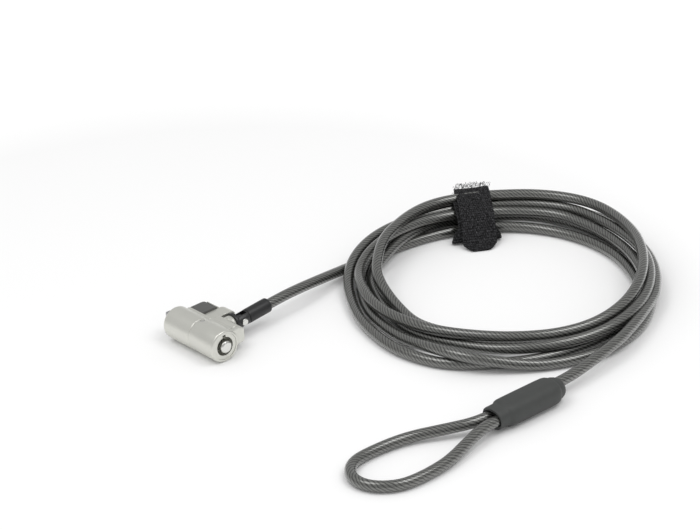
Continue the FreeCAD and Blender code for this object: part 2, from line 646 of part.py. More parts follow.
# Cap on the tube's front end, and the pin that holds the swivel stud
def make_swivel_hold():
    rear = "rail_end_x + cap_seam"
    lug = extruded("cap_block", "YZ_Plane", [
        ("cap_near_y", "cap_bottom"), ("cap_far_y", "cap_bottom"),
        ("cap_far_y", "cap_top"), ("cap_near_y", "cap_top")], "cap_length", rear)
    far_y = size("cap_far_y")
    soften(lug, "cap_round", lambda edge, middle: near(middle.y, far_y) and abs(middle.z) > 1)
    clearance = rod("cap_casing_room", ("split_x", "0", "0"), "barrel_radius + casing_gap", "barrel_length")
    piece("tube_end_cap", cut("cap_cut", lug, clearance))
    piece("swivel_retaining_pin", rod("swivel_pin_rod", ("arm_front_x + fit_gap", "tube_y", swivel_pin_z()),
                                      "swivel_pin_radius", "rail_end_x - arm_front_x - fit_gap"))


# Swivel yoke: stud in the housing, flange, and the tongue that the rivet goes through
def make_yoke():
    flange_start = "neck_end_y + flange_gap"
    flange_end = "neck_end_y + flange_gap + flange_thickness"
    axis = ("swivel_x", "stud_tip_y", "swivel_z")
    stud = rod("yoke_stud", axis, "stud_radius", flange_start + " - stud_tip_y + flange_thickness / 2", ALONG_Y)
    flange = rod("yoke_flange", ("swivel_x", flange_start, "swivel_z"), "flange_radius",
                 "flange_thickness", ALONG_Y)
    tongue = block("yoke_tongue",
                   ("swivel_x - tongue_half", flange_end + " - flange_thickness / 2",
                    "swivel_z - tongue_height_half"),
                   ("swivel_x + tongue_half", "rivet_y", "swivel_z + tongue_height_half"))
    tip = rod("yoke_tip", ("swivel_x - tongue_half", "rivet_y", "swivel_z"),
              "tongue_height_half", "2 * tongue_half")
    solid = fuse("yoke_joined", stud, flange, tongue, tip)
    groove_half = "swivel_pin_radius + run_gap"
    groove_outer = rod("yoke_groove_outer", ("swivel_x", "tube_y - (%s)" % groove_half, "swivel_z"),
                       "stud_radius + 1", "2 * (%s)" % groove_half, ALONG_Y)
    groove_core = rod("yoke_groove_core", ("swivel_x", "stud_tip_y", "swivel_z"),
                      "stud_groove_radius", "tube_y", ALONG_Y)
    groove = cut("yoke_groove", groove_outer, groove_core)
    hole = rod("yoke_rivet_hole", ("swivel_x - 2 * tongue_half", "rivet_y", "swivel_z"),
               "rivet_radius + run_gap", "4 * tongue_half")
    piece("swivel_yoke", cut("yoke_cut", solid, groove, hole))


def at_cable_end(label, thing):
    """Seat a piece that was made round the rivet's centre, tilted as the cable leaves."""
    place(thing, ("swivel_x", "rivet_y", "swivel_z"), Rotation(Vector(1, 0, 0), size("cable_tilt")))
    return piece(label, thing)


# Fork, rivet and sleeve at the cable's end, made with the rivet's centre as origin
def make_cable_end():
    ears = rod("fork_ears", ("-ear_half", "0", "0"), "ear_radius", "2 * ear_half")
    cheeks = block("fork_cheeks", ("-ear_half", "0", "-ear_radius"), ("ear_half", "fork_step", "ear_radius"))
    round_bar = rod("fork_round", ("0", "-fork_radius", "0"), "fork_radius",
                    "fork_radius + fork_step", ALONG_Y)
    head = common("fork_head", fuse("fork_head_block", ears, cheeks), round_bar)
    socket = rod("fork_socket", ("0", "slot_bottom", "0"), "socket_radius", "socket_end - slot_bottom", ALONG_Y)
    slot = block("fork_slot", ("-ear_inner_half", "-2 * fork_radius", "-fork_radius"),
                 ("ear_inner_half", "slot_bottom", "fork_radius"))
    bore = rod("fork_cable_bore", ("0", "socket_start", "0"), "cable_radius + fit_gap", "socket_end", ALONG_Y)
    hole = rod("fork_rivet_hole", ("-fork_radius", "0", "0"), "rivet_radius + fit_gap", "2 * fork_radius")
    at_cable_end("cable_end_fork", cut("fork_cut", fuse("fork_joined", head, socket), slot, bore, hole))

    tail = "-ear_half - rivet_head_height"
    near_face, far_face = "-ear_half - fit_gap", "ear_half + fit_gap"
    rivet = turned("rivet_turned", [
        (tail, "0"), (tail, "rivet_head_radius"), (near_face, "rivet_head_radius"),
        (near_face, "rivet_radius"), (far_face, "rivet_radius"), (far_face, "rivet_head_radius"),
        ("ear_half + rivet_head_height", "rivet_head_radius"), ("ear_half + rivet_head_height", "0")])
    reach = size("ear_half") + size("rivet_head_height")
    soften(rivet, "rivet_head_round", lambda edge, middle: near(abs(middle.x), reach))
    at_cable_end("cable_rivet", rivet)

    skin = rod("sleeve_bar", ("0", "fork_step + fit_gap", "0"), "sleeve_radius",
               "sleeve_end - fork_step - fit_gap", ALONG_Y)
    end_y = size("sleeve_end")
    soft_skin = rounded("sleeve_rounded", skin, min(size("sleeve_round"), size("sleeve_radius")
                                                    - size("cable_radius") - 2 * size("fit_gap")),
                        lambda edge, middle: near(middle.y, end_y) and edge.Closed)
    wide = rod("sleeve_wide_bore", ("0", "0", "0"), "socket_radius + fit_gap", "socket_end + fit_gap", ALONG_Y)
    narrow = rod("sleeve_cable_bore", ("0", "0", "0"), "cable_radius + fit_gap", "2 * sleeve_end", ALONG_Y)
    at_cable_end("strain_sleeve", cut("sleeve_bored", soft_skin, wide, narrow))


# Ferrule: crimp and strands inside a tapered cover, made along Y from the loop end
def at_ferrule(label, thing):
    table = "cover_half_height - barrel_radius"
    place(thing, ("ferrule_x", "ferrule_y", table), Rotation(Vector(0, 0, 1), -size("ferrule_heading")))
    return piece(label, thing)


def cover_section(number, along, share):
    """Oval outline of the ferrule cover at a distance from the loop end."""
    oval = doc.addObject("Part::Ellipse", "cover_section_%d" % number)
    bind(oval, "MajorRadius", "cover_half_width * %s" % share)
    bind(oval, "MinorRadius", "cover_half_height * %s" % share)
    return place(oval, ("0", along, "0"), Rotation(Vector(1, 0, 0), 90))


def crimp_outline(name, start, length, extra):
    """Flattened tube round both strands."""
    half = "(strand_half + cable_radius + crimp_side_wall - crimp_radius)"
    radius = "crimp_radius + " + extra
    left = rod(name + "_left", ("-" + half, start, "0"), radius, length, ALONG_Y)
    right = rod(name + "_right", (half, start, "0"), radius, length, ALONG_Y)
    middle = block(name + "_middle", ("-" + half, start, "-(%s)" % radius),
                   (half, "%s + %s" % (start, length), radius))
    return fuse(name, left, right, middle)


def make_ferrule():
    body_start = "collar_length + taper_length"
    tail_start = "ferrule_length - collar_length"
    stations = [("0", "collar_share"), ("collar_length", "collar_share"), (body_start, "1"),
                (tail_start + " - taper_length", "1"), (tail_start, "collar_share"),
                ("ferrule_length", "tail_share")]
    outline = doc.addObject("Part::Loft", "cover_loft")
    outline.Sections = [cover_section(number, along, share)
                        for number, (along, share) in enumerate(stations)]
    outline.Solid = True
    outline.Ruled = True
    inside = crimp_outline("cover_inside", "crimp_inset - fit_gap",
                           "ferrule_length - 2 * crimp_inset + 2 * fit_gap", "fit_gap")
    holes = [rod("cover_loop_hole_%d" % number, (side, "-1", "0"), "cable_radius + fit_gap",
                 "crimp_inset + 1", ALONG_Y)
             for number, side in enumerate(("-strand_half", "strand_half"))]
    holes.append(rod("cover_tail_hole", ("-strand_half", "ferrule_length - crimp_inset", "0"),
                     "cable_radius + fit_gap", "2 * crimp_inset", ALONG_Y))
    at_ferrule("ferrule_cover", cut("cover_cut", outline, inside, *holes))

    crimp = crimp_outline("crimp_block", "crimp_inset", "ferrule_length - 2 * crimp_inset", "0")
    bores = [rod("crimp_bore_%d" % number, (side, "0", "0"), "cable_radius + fit_gap",
                 "ferrule_length", ALONG_Y)
             for number, side in enumerate(("-strand_half", "strand_half"))]
    at_ferrule("ferrule_crimp", cut("crimp_cut", crimp, *bores))
    strands = [rod("crimped_strand_%d" % number, (side, "crimp_inset", "0"), "cable_radius",
                   "ferrule_length - 2 * crimp_inset", ALONG_Y)
               for number, side in enumerate(("-strand_half", "strand_half"))]
    at_ferrule("crimped_strands", group("crimped_strand_group", strands))


# Strap round the coil: a band standing across the turns, its tab laid down inside the ring
def make_strap():
    near_in, far_in = "strap_inner_near", "strap_inner_far"
    low_in, high_in = "strap_thickness + floor_gap", "strap_inner_top"
    near_out, far_out = near_in + " - strap_thickness", far_in + " + strap_thickness"
    slope_top = near_in + " + strap_slope"
    outer = [(near_out, "floor_gap"), (far_out, "floor_gap"), (far_out, high_in + " + strap_thickness"),
             (slope_top, high_in + " + strap_thickness"),
             (near_out, "strap_inner_shoulder + strap_thickness / 2")]
    inner = [(near_in, low_in), (far_in, low_in), (far_in, high_in), (slope_top, high_in),
             (near_in, "strap_inner_shoulder")]
    band = extruded("strap_band", "XZ_Plane", outer, "strap_width", inner=inner, both_ways=True)
    low_inside = size("strap_thickness") + 0.01
    soften(band, "strap_inner_round", lambda edge, middle: near(middle.y, 0) and is_inside(middle))
    soften(band, "strap_inner_round + strap_thickness",
           lambda edge, middle: near(middle.y, 0) and not is_inside(middle)
           and not (low_inside < middle.z < size("strap_inner_top"))
           and edge.Curve.TypeId == "Part::GeomLine")
    tab = extruded("strap_tab", "XZ_Plane", [
        (near_in, "strap_inner_shoulder"),
        (near_in + " - strap_tab_turn_reach", "strap_tab_turn_height"),
        (near_out + " - strap_tab_reach", "floor_gap"),
        (near_out + " - strap_tab_reach", "floor_gap + strap_thickness"),
        (near_in + " - strap_tab_back_reach", "strap_tab_back_height"),
        (near_out, "strap_inner_shoulder + strap_thickness / 2")], "strap_width", both_ways=True)
    strap = fuse("strap_joined", band, tab)
    place(strap, ("coil_x", "coil_y", "-barrel_radius"), Rotation(Vector(0, 0, 1), size("strap_angle")))
    piece("tie_strap", strap)


def is_inside(point):
    """True on the strap's inner corners."""
    slack = 0.01
    return (size("strap_inner_near") - slack < point.x < size("strap_inner_far") + slack
            and size("strap_thickness") < point.z < size("strap_inner_top") + slack)


# Wire paths: a biarc between two points with given directions
def biarc(start, start_way, end, end_way):
    """Two arcs that leave one point and reach the next along the given directions."""
    across = end - start
    both = start_way + end_way
    a = both.dot(both) - 4
    b = -2 * across.dot(both)
    c = across.dot(across)
    if abs(a) < 1e-9:
        reach = -c / b
    else:
        reach = (-b - math.sqrt(b * b - 4 * a * c)) / (2 * a)
    first_corner = start + start_way * reach
    last_corner = end - end_way * reach
    joint = (first_corner + last_corner) * 0.5
    return [arc_by_corner(start, first_corner, joint), arc_by_corner(joint, last_corner, end)]


def arc_by_corner(start, corner, end):
    """Arc from start to end whose tangents meet at the corner."""
    chord_middle = (start + end) * 0.5
    half_chord = (end - start).Length / 2
    turn = math.acos(min(1.0, half_chord / (corner - start).Length))
    rise = half_chord * math.tan(turn / 2)
    top = chord_middle + (corner - chord_middle).normalize() * rise
    return Part.Arc(start, top, end).toShape()


def swept(edges, start, way, radius):
    """Round wire along a path of edges."""
    path = Part.Wire(edges)
    section = Part.Wire(Part.makeCircle(radius, start, way))
    return path.makePipeShell([section], True, False)


def winding(point_at, turns, per_turn, radius, stub):
    """Wire wound through points of a formula, with a straight stub at each end."""
    count = int(round(turns * per_turn))
    step = turns / count
    nudge = step / 50
    ways = []
    stations = []
    for number in range(count + 1):
        at = number * step
        before, after = max(0.0, at - nudge), min(turns, at + nudge)
        stations.append(point_at(at))
        ways.append((point_at(after) - point_at(before)).normalize())
    first = stations[0] - ways[0] * stub
    last = stations[-1] + ways[-1] * stub
    edges = [Part.makeLine(first, stations[0])]
    for number in range(count):
        edges += biarc(stations[number], ways[number], stations[number + 1], ways[number + 1])
    edges.append(Part.makeLine(stations[-1], last))
    return swept(edges, first, ways[0], radius), edges, (first, ways[0]), (last, ways[-1])


def least_gap(name, edges, radius, turn_length):
    """Least space between stretches of one wire, measured on points along it."""
    points = []
    for edge in edges:
        share = max(2, int(edge.Length / (radius * 0.7)))
        points += edge.discretize(share)[:-1]
    travelled = [0.0]
    for before, after in zip(points, points[1:]):
        travelled.append(travelled[-1] + (after - before).Length)
    least = float("inf")
    for i, first in enumerate(points):
        for j in range(i + 1, len(points)):
            if travelled[j] - travelled[i] > turn_length / 2:
                least = min(least, (points[j] - first).Length)
    print("%s least gap to itself %.2f mm" % (name, least - 2 * radius))


def make_springs():
    """One small coil spring behind each driver pin."""
    ring, pitch = size("spring_radius"), size("spring_pitch")
    wire = size("spring_wire_radius")
    start_x = size("shear_x") - size("shear_gap") - size("pin_hole_depth") + 3 * wire

    def point_at(turn):
        angle = 2 * math.pi * turn
        return Vector(start_x + pitch * turn, ring * math.cos(angle), ring * math.sin(angle))

    coil, edges, start, end = winding(point_at, size("spring_turns"), 4, wire, 2 * wire)
    least_gap("pin_springs", edges, wire, 2 * math.pi * ring)
    copies = []
    for number in range(int(size("pin_count"))):
        copy = coil.copy()
        copy.translate(Vector(0, size("pin_circle_radius") * math.cos(pin_angle(number)),
                              size("pin_circle_radius") * math.sin(pin_angle(number))))
        copies.append(copy)
    piece("pin_springs", feature("pin_spring_group", Part.makeCompound(copies)))


# Cable coil: the lower layer winds inwards, the upper layer back out again
def smooth(share):
    share = min(1.0, max(0.0, share))
    return share * share * (3 - 2 * share)


def coil_turns():
    part_turn = ((size("coil_start_angle") - size("coil_end_angle")) % 360) / 360
    return size("coil_full_turns") + part_turn


def coil_point(turn):
    """Middle of the cable after some turns, clockwise seen from above."""
    inward = size("coil_inward_turns")
    radius = size("coil_start_radius") - size("lane_step") * (inward - abs(turn - inward))
    climb = smooth(turn - inward + 0.5)
    angle = math.radians(size("coil_start_angle") - 360 * turn)
    from_strap = angle - math.radians(size("strap_angle"))
    lift = size("strap_lift") * (0.5 + 0.5 * math.cos(from_strap))
    height = size("cable_radius") + size("floor_gap") + size("layer_step") * climb + lift
    return Vector(size("coil_x") + radius * math.cos(angle), size("coil_y") + radius * math.sin(angle),
                  height - size("barrel_radius"))


def feature(name, shape):
    solid = doc.addObject("Part::Feature", name)
    solid.Shape = shape
    return solid


# Free stretches: straight runs joined by tangent arcs
def run_path(name, points):
    """Edges of a route whose corners are rounded as widely as the runs allow."""
    edges = []
    radii = []
    last = points[0]
    for before, corner, after in zip(points, points[1:], points[2:]):
        way_in = (corner - before).normalize()
        way_out = (after - corner).normalize()
        shorter = min((corner - before).Length, (after - corner).Length)
        half_turn = way_in.getAngle(way_out) / 2
        trim = 0.45 * shorter
        start, end = corner - way_in * trim, corner + way_out * trim
        radii.append(trim / math.tan(half_turn))
        edges.append(Part.LineSegment(last, start).toShape())
        edges.append(arc_by_corner(start, corner, end))
        last = end
    edges.append(Part.LineSegment(last, points[-1]).toShape())
    print(name, "radii", " ".join("%.1f" % radius for radius in radii))
    return edges


def make_stretch(label, points):
    edges = run_path(label, points)
    radius = size("cable_radius")
    shape = swept(edges, points[0], (points[1] - points[0]).normalize(), radius)
    check_volume(label, shape, edges, radius)
    return piece(label, feature(label + "_tube", shape))


def check_volume(label, shape, edges, radius):
    length = sum(edge.Length for edge in edges)
    expected = math.pi * radius ** 2 * length
    print("%s length %.1f mm, volume %.1f against %.1f" % (label, length, shape.Volume, expected))


def above_table(x, y, height):
    return Vector(x, y, height - size("barrel_radius"))


def cable_end_point(along):
    """Point of the cable's middle at a distance from the rivet."""
    tilt = math.radians(size("cable_tilt"))
    return Vector(size("swivel_x"), size("rivet_y") + along * math.cos(tilt),
                  size("swivel_z") + along * math.sin(tilt))


def beside_ferrule(across, along, height):
    """Point across and along the ferrule's axis from its loop end, above the table."""
    heading = math.radians(size("ferrule_heading"))
    return above_table(size("ferrule_x") + along * math.sin(heading) + across * math.cos(heading),
                       size("ferrule_y") + along * math.cos(heading) - across * math.sin(heading),
                       height)


def strand_point(side, along):
    """Point of a strand's middle at a distance from the ferrule's loop end."""
    return beside_ferrule(side * size("strand_half"), along, size("cover_half_height"))


def eye_point(across_share, reach_share, height):
    """Point of the eye by its shares of the half width and of the reach."""
    return beside_ferrule(across_share * size("eye_half_width"), -reach_share * size("eye_reach"), height)


def make_cable():
    radius = size("cable_radius")
    shape, edges, start, end = winding(coil_point, coil_turns(), 4.0, radius, 2 * radius)
    check_volume("cable_coil", shape, edges, radius)
    least_gap("cable_coil", edges, radius, 2 * math.pi * size("coil_start_radius"))
    piece("cable_coil", feature("cable_coil_tube", shape))

    coil_start, start_way = start
    coil_end, end_way = end
    lead_start = size("socket_start") + size("fit_gap")
    make_stretch("cable_lead", [
        cable_end_point(lead_start),
        cable_end_point(size("sleeve_end") + size("lead_straight")),
        above_table(17.6, 52.0, 7.7),
        above_table(15.4, 64.5, 6.0),
        above_table(12.2, 77.0, 3.9),
        coil_start - start_way * size("lead_last_run"),
        coil_start])

    length = size("ferrule_length")
    inset = size("crimp_inset")
    make_stretch("cable_tail", [
        coil_end,
        coil_end + end_way * size("tail_first_run"),
        above_table(143.8, 107.5, 6.9),
        above_table(146.9, 92.5, 6.0),
        strand_point(-1, length + size("tail_last_run")),
        strand_point(-1, length - inset)])

    mouth = size("mouth_run")
    floor = radius + size("floor_gap")
    make_stretch("cable_eye", [
        strand_point(1, inset),
        strand_point(1, -mouth),
        eye_point(0.32, 0.28, floor + 1.45),
        eye_point(0.56, 0.48, floor + 0.35),
        eye_point(0.61, 0.71, floor),
        eye_point(0.55, 0.90, floor),
        eye_point(0.05, 1.025, floor),
        eye_point(-0.64, 1.025, floor),
        eye_point(-1.13, 0.90, floor),
        eye_point(-1.17, 0.70, floor),
        eye_point(-1.03, 0.47, floor + 0.35),
        eye_point(-0.57, 0.27, floor + 1.45),
        strand_point(-1, -mouth),
        strand_point(-1, inset)])


make_rear_housing()
make_front_casing()
make_lock_shell()
make_lock_plug()
make_pin_block()
make_springs()
make_drive()
make_pad()
make_swivel_hold()
make_yoke()
make_cable_end()
make_ferrule()
make_strap()
make_cable()
doc.recompute()

# Every object and every sub-part's shape has to be sound before anything is written
for thing in doc.Objects:
    if "Invalid" in thing.State or "Error" in thing.State:
        raise RuntimeError("%s failed: %s" % (thing.Name, thing.State))
for label, thing in pieces:
    if thing.Shape.isNull() or not thing.Shape.isValid() or not thing.Shape.Solids:
        raise RuntimeError("%s has no sound solid" % label)

os.makedirs("parts", exist_ok=True)
for label, thing in pieces:
    thing.Shape.exportStep(os.path.join("parts", label + ".step"))
    print("%-22s %2d solids %10.2f mm3" % (label, len(thing.Shape.Solids), thing.Shape.Volume))
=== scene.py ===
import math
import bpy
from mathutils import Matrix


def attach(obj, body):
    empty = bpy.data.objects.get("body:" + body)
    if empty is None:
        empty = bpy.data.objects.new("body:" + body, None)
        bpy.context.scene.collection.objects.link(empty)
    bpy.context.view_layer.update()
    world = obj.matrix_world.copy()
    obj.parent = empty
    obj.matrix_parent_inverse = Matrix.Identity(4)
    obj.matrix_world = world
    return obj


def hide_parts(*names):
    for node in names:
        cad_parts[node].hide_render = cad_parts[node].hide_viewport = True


bl_info = {
    "name": "Laptop cable lock",
    "version": (1, 0, 0),
    "blender": (4, 5, 0),
    "location": "3D View > Sidebar > Cable Lock",
    "description": "Finishes a barrel lock with its coiled steel cable, eye and fabric strap",
    "category": "Object",
}

import bmesh
import bpy
from bpy.props import FloatProperty, FloatVectorProperty, IntProperty, PointerProperty
from mathutils import Matrix, Vector, noise
from mathutils.kdtree import KDTree

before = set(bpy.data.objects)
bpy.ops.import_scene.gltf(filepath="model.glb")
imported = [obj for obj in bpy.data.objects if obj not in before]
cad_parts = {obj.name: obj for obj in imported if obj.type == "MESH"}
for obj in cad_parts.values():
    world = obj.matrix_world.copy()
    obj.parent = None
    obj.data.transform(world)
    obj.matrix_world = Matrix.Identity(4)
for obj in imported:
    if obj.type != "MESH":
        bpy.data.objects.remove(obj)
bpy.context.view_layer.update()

# A millimetre in metres; places and sizes below are in millimetres
MM = 0.001
TABLE_Z = -6.75

# Cable: its radius, and the height of its middle where it lies on the table
CABLE_RADIUS = 2.2
LYING = CABLE_RADIUS + 0.05
COIL_CENTRE = (72.1, 113.9)

# Ferrule: middle of its loop end, the way it points, and its two strands
FERRULE_START = (147.9, 33.5)
FERRULE_HEADING = math.radians(2.5)
FERRULE_LENGTH = 34.2
FERRULE_HEIGHT = 5.0
STRAND_HALF = 2.3
EYE_HALF_WIDTH = 15.0
EYE_REACH = 60.0

# Cable end: middle of the rivet, and the sleeve that rises from it
SWIVEL = (18.8, 18.7, -0.3)
CABLE_TILT = math.radians(5.0)

# Strap: direction from the coil's middle
STRAP_ANGLE = math.radians(146.0)

# Faces that meet at more than this have an edge between them
EDGE_ANGLE = math.radians(34.0)


class LockFinishes(bpy.types.PropertyGroup):
    nickel: FloatVectorProperty(
        name="Satin nickel", description="Colour of the castings", subtype="COLOR",
        size=3, min=0, max=1, default=(0.68, 0.68, 0.63))
    bright: FloatVectorProperty(
        name="Polished nickel", description="Colour of post, rivet and clip", subtype="COLOR",
        size=3, min=0, max=1, default=(0.74, 0.74, 0.71))
    paint: FloatVectorProperty(
        name="Black paint", description="Colour of the swivel and fork", subtype="COLOR",
        size=3, min=0, max=1, default=(0.010, 0.010, 0.011))
    pad: FloatVectorProperty(
        name="Grey pad", description="Colour of the pad against the laptop", subtype="COLOR",
        size=3, min=0, max=1, default=(0.098, 0.098, 0.095))


class CableSizes(bpy.types.PropertyGroup):
    diameter: FloatProperty(
        name="Diameter", description="Cable with its jacket", unit="LENGTH",
        min=0.002, max=0.008, default=0.0044)
    strands: IntProperty(
        name="Strands", description="Strands laid round the rope", min=3, max=16, default=9)
    lay: FloatProperty(
        name="Lay", description="Length in which a strand goes once round", unit="LENGTH",
        min=0.01, max=0.06, default=0.0165)
    steel: FloatVectorProperty(
        name="Rope", description="Steel seen through the jacket", subtype="COLOR",
        size=3, min=0, max=1, default=(0.084, 0.085, 0.079))


class StrapSizes(bpy.types.PropertyGroup):
    width: FloatProperty(
        name="Width", description="Strap along the cable", unit="LENGTH",
        min=0.008, max=0.03, default=0.0148)
    head: FloatProperty(
        name="Head", description="Wide end that the strap passes", unit="LENGTH",
        min=0.008, max=0.03, default=0.0215)
    thickness: FloatProperty(
        name="Thickness", description="Fabric with its loops", unit="LENGTH",
        min=0.0005, max=0.003, default=0.0011)
    colour: FloatVectorProperty(
        name="Fabric", description="Colour of the fabric", subtype="COLOR",
        size=3, min=0, max=1, default=(0.018, 0.018, 0.019))


class StageSizes(bpy.types.PropertyGroup):
    floor: FloatVectorProperty(
        name="Floor", description="Colour of the table", subtype="COLOR",
        size=3, min=0, max=1, default=(0.92, 0.92, 0.92))
    softness: FloatProperty(
        name="Softbox", description="Width of the two overhead lights", unit="LENGTH",
        min=0.05, max=2, default=0.46)


# Materials
class Signal:
    """A socket of a material that can be used in sums."""

    def __init__(self, tree, socket):
        self.tree = tree
        self.socket = socket

    def maths(self, operation, *values):
        node = self.tree.nodes.new("ShaderNodeMath")
        node.operation = operation
        for entry, value in zip(node.inputs, values):
            connect(self.tree, entry, value)
        return Signal(self.tree, node.outputs[0])

    def __add__(self, other):
        return self.maths("ADD", self, other)

    def __radd__(self, other):
        return self.maths("ADD", other, self)

    def __sub__(self, other):
        return self.maths("SUBTRACT", self, other)

    def __rsub__(self, other):
        return self.maths("SUBTRACT", other, self)

    def __mul__(self, other):
        return self.maths("MULTIPLY", self, other)

    def __truediv__(self, other):
        return self.maths("DIVIDE", self, other)

    def __pow__(self, other):
        return self.maths("POWER", self, other)

    def __abs__(self):
        return self.maths("ABSOLUTE", self)

    def fraction(self):
        return self.maths("FRACT", self)

    def whole(self):
        return self.maths("FLOOR", self)

    def clamp(self):
        return self.maths("MINIMUM", self.maths("MAXIMUM", self, 0.0), 1.0)


def connect(tree, entry, value):
    """Give a socket a link or a value."""
    if isinstance(value, Signal):
        tree.links.new(value.socket, entry)
    else:
        entry.default_value = value


class Finish:
    """A material in the making."""

    def __init__(self, name):
        self.material = bpy.data.materials.new(name)
        self.material.use_nodes = True
        self.tree = self.material.node_tree
        self.tree.nodes.clear()
        self.output = self.tree.nodes.new("ShaderNodeOutputMaterial")
        self.shader = self.tree.nodes.new("ShaderNodeBsdfPrincipled")
        self.tree.links.new(self.shader.outputs[0], self.output.inputs["Surface"])

    def node(self, kind, settings=(), sockets=(), result=0):
        """Add a node: its type, its settings, then the values or links of its sockets."""
        node = self.tree.nodes.new(kind)
        for name, value in dict(settings).items():
            setattr(node, name, value)
        for name, value in dict(sockets).items():
            entry = [socket for socket in node.inputs if socket.enabled and socket.name == name][0]
            connect(self.tree, entry, value)
        if isinstance(result, str):
            return Signal(self.tree, node.outputs[result])
        return Signal(self.tree, [socket for socket in node.outputs if socket.enabled][result])

    def set(self, **sockets):
        """Set the shader's own sockets; underscores stand for spaces."""
        for name, value in sockets.items():
            connect(self.tree, self.shader.inputs[name.replace("_", " ")], value)

    def place(self):
        """Place on the object in millimetres."""
        spot = self.node("ShaderNodeTexCoord", result="Object")
        return self.node("ShaderNodeVectorMath", {"operation": "SCALE"}, {
            "Vector": spot, "Scale": 1 / MM})

    def grain(self, scale, detail=2.0, rough=0.5):
        """Noise with so many cells in a millimetre."""
        return self.node("ShaderNodeTexNoise", {}, {
            "Vector": self.place(), "Scale": scale, "Detail": detail, "Roughness": rough})

    def blend(self, share, first, second):
        """Colour between two colours."""
        return self.node("ShaderNodeMix", {"data_type": "RGBA"}, {
            "Factor": share, "A": colour(first), "B": colour(second)})

    def bump(self, height, distance, strength=1.0):
        """Raise the surface by a height of 0 to 1 times a distance in millimetres."""
        self.set(Normal=self.node("ShaderNodeBump", {}, {
            "Height": height, "Distance": distance * MM, "Strength": strength}))


def colour(value):
    """A link as it is, or a colour with its alpha."""
    if isinstance(value, Signal):
        return value
    return tuple(value)[:3] + (1.0,)


def scaled(shade, factor):
    """A lighter or darker shade, never above white."""
    return tuple(min(1.0, part * factor) for part in shade)


def cast_metal(name, shade, rough):
    """Satin plated casting with faint clouds and a fine grain."""
    finish = Finish(name)
    clouds = finish.grain(0.16, 3.0)
    grain = finish.grain(6.0, 3.0, 0.6)
    body = finish.blend(clouds, scaled(shade, 0.93), scaled(shade, 1.05))
    fine = finish.blend(grain, scaled(shade, 0.90), scaled(shade, 1.08))
    finish.set(
        Base_Color=finish.blend(0.35, body, fine),
        Metallic=0.70, Roughness=rough + (clouds - 0.5) * 0.12 + (grain - 0.5) * 0.10)
    finish.bump(grain, 0.012)
    return finish.material


def bright_metal(name, shade, rough):
    """Polished or turned metal with fine marks."""
    finish = Finish(name)
    marks = finish.grain(9.0, 4.0, 0.7)
    finish.set(
        Base_Color=finish.blend(marks, scaled(shade, 0.92), scaled(shade, 1.04)),
        Metallic=1.0, Roughness=rough + (marks - 0.5) * 0.10)
    finish.bump(marks, 0.004)
    return finish.material


def painted(name, shade, rough, coat, worn):
    """Black paint or plating, rubbed a little grey in places."""
    finish = Finish(name)
    patches = finish.grain(0.7, 4.0, 0.6)
    specks = finish.grain(8.0, 3.0, 0.6)
    rubbed = ((patches - 0.56) * 5.0).clamp() * worn
    finish.set(
        Base_Color=finish.blend(rubbed, shade, (0.09, 0.09, 0.088)),
        Roughness=rough + (specks - 0.5) * 0.14 - rubbed * 0.08,
        Metallic=rubbed * 0.5, Coat_Weight=coat, Coat_Roughness=0.25)
    finish.bump(specks, 0.01)
    return finish.material


def moulded(name, shade, rough, texture=0.02, cells=5.0):
    """Moulded plastic or rubber with a fine spark-eroded texture."""
    finish = Finish(name)
    pattern = finish.grain(cells, 3.0, 0.6)
    clouds = finish.grain(0.25, 2.0)
    finish.set(
        Base_Color=finish.blend(clouds, scaled(shade, 0.88), scaled(shade, 1.10)),
        Roughness=rough + (pattern - 0.5) * 0.16)
    finish.bump(pattern, texture)
    return finish.material


def map_along(finish):
    """Share round a tube or millimetres across a strap, and millimetres along it."""
    spot = finish.node("ShaderNodeUVMap", {"uv_map": "along"})
    across = finish.node("ShaderNodeSeparateXYZ", {}, {"Vector": spot}, result="X")
    along = finish.node("ShaderNodeSeparateXYZ", {}, {"Vector": spot}, result="Y")
    return across, along


def rope_in_jacket(name, sizes):
    """Steel rope seen through a clear smoked jacket, with painted shade in the grooves between strands
    and wires and painted glints on the strands.
    """
    finish = Finish(name)
    around, along = map_along(finish)
    clouds = finish.grain(0.22, 2.0)
    lay = sizes.lay / MM
    wire_lay = lay * 0.62
    wires_in_strand = 4.0
    wander = (finish.grain(0.35, 1.0) - 0.5) * 0.10
    phase = (around + along / lay + wander) * sizes.strands
    across = abs(phase.fraction() - 0.5) * 2.0
    strand = (1.0 - across * across).clamp() ** 1.3
    wires = (around * wires_in_strand - along / wire_lay + wander) * sizes.strands
    wire = abs(wires.fraction() - 0.5) * 2.0
    painted_glint = finish.grain(1.6, 2.0, 0.6)
    # painted light: strand tops and wires lighter, painted shade in the grooves between them, random
    # painted glints
    light = strand * (0.55 + wire * 0.45) * (0.62 + painted_glint * 0.76)
    steel = sizes.steel
    shade = finish.blend(light.clamp(), scaled(steel, 0.08), scaled(steel, 2.9))
    shade = finish.blend(clouds * 0.25, shade, scaled(steel, 0.4))
    finish.set(Base_Color=shade, Metallic=0.75, Roughness=0.40 - strand * 0.08,
               Coat_Weight=1.0, Coat_Roughness=0.14, Coat_IOR=1.7)
    finish.bump(strand * 0.8 + wire * 0.2, 0.10, 0.6)
    return finish.material


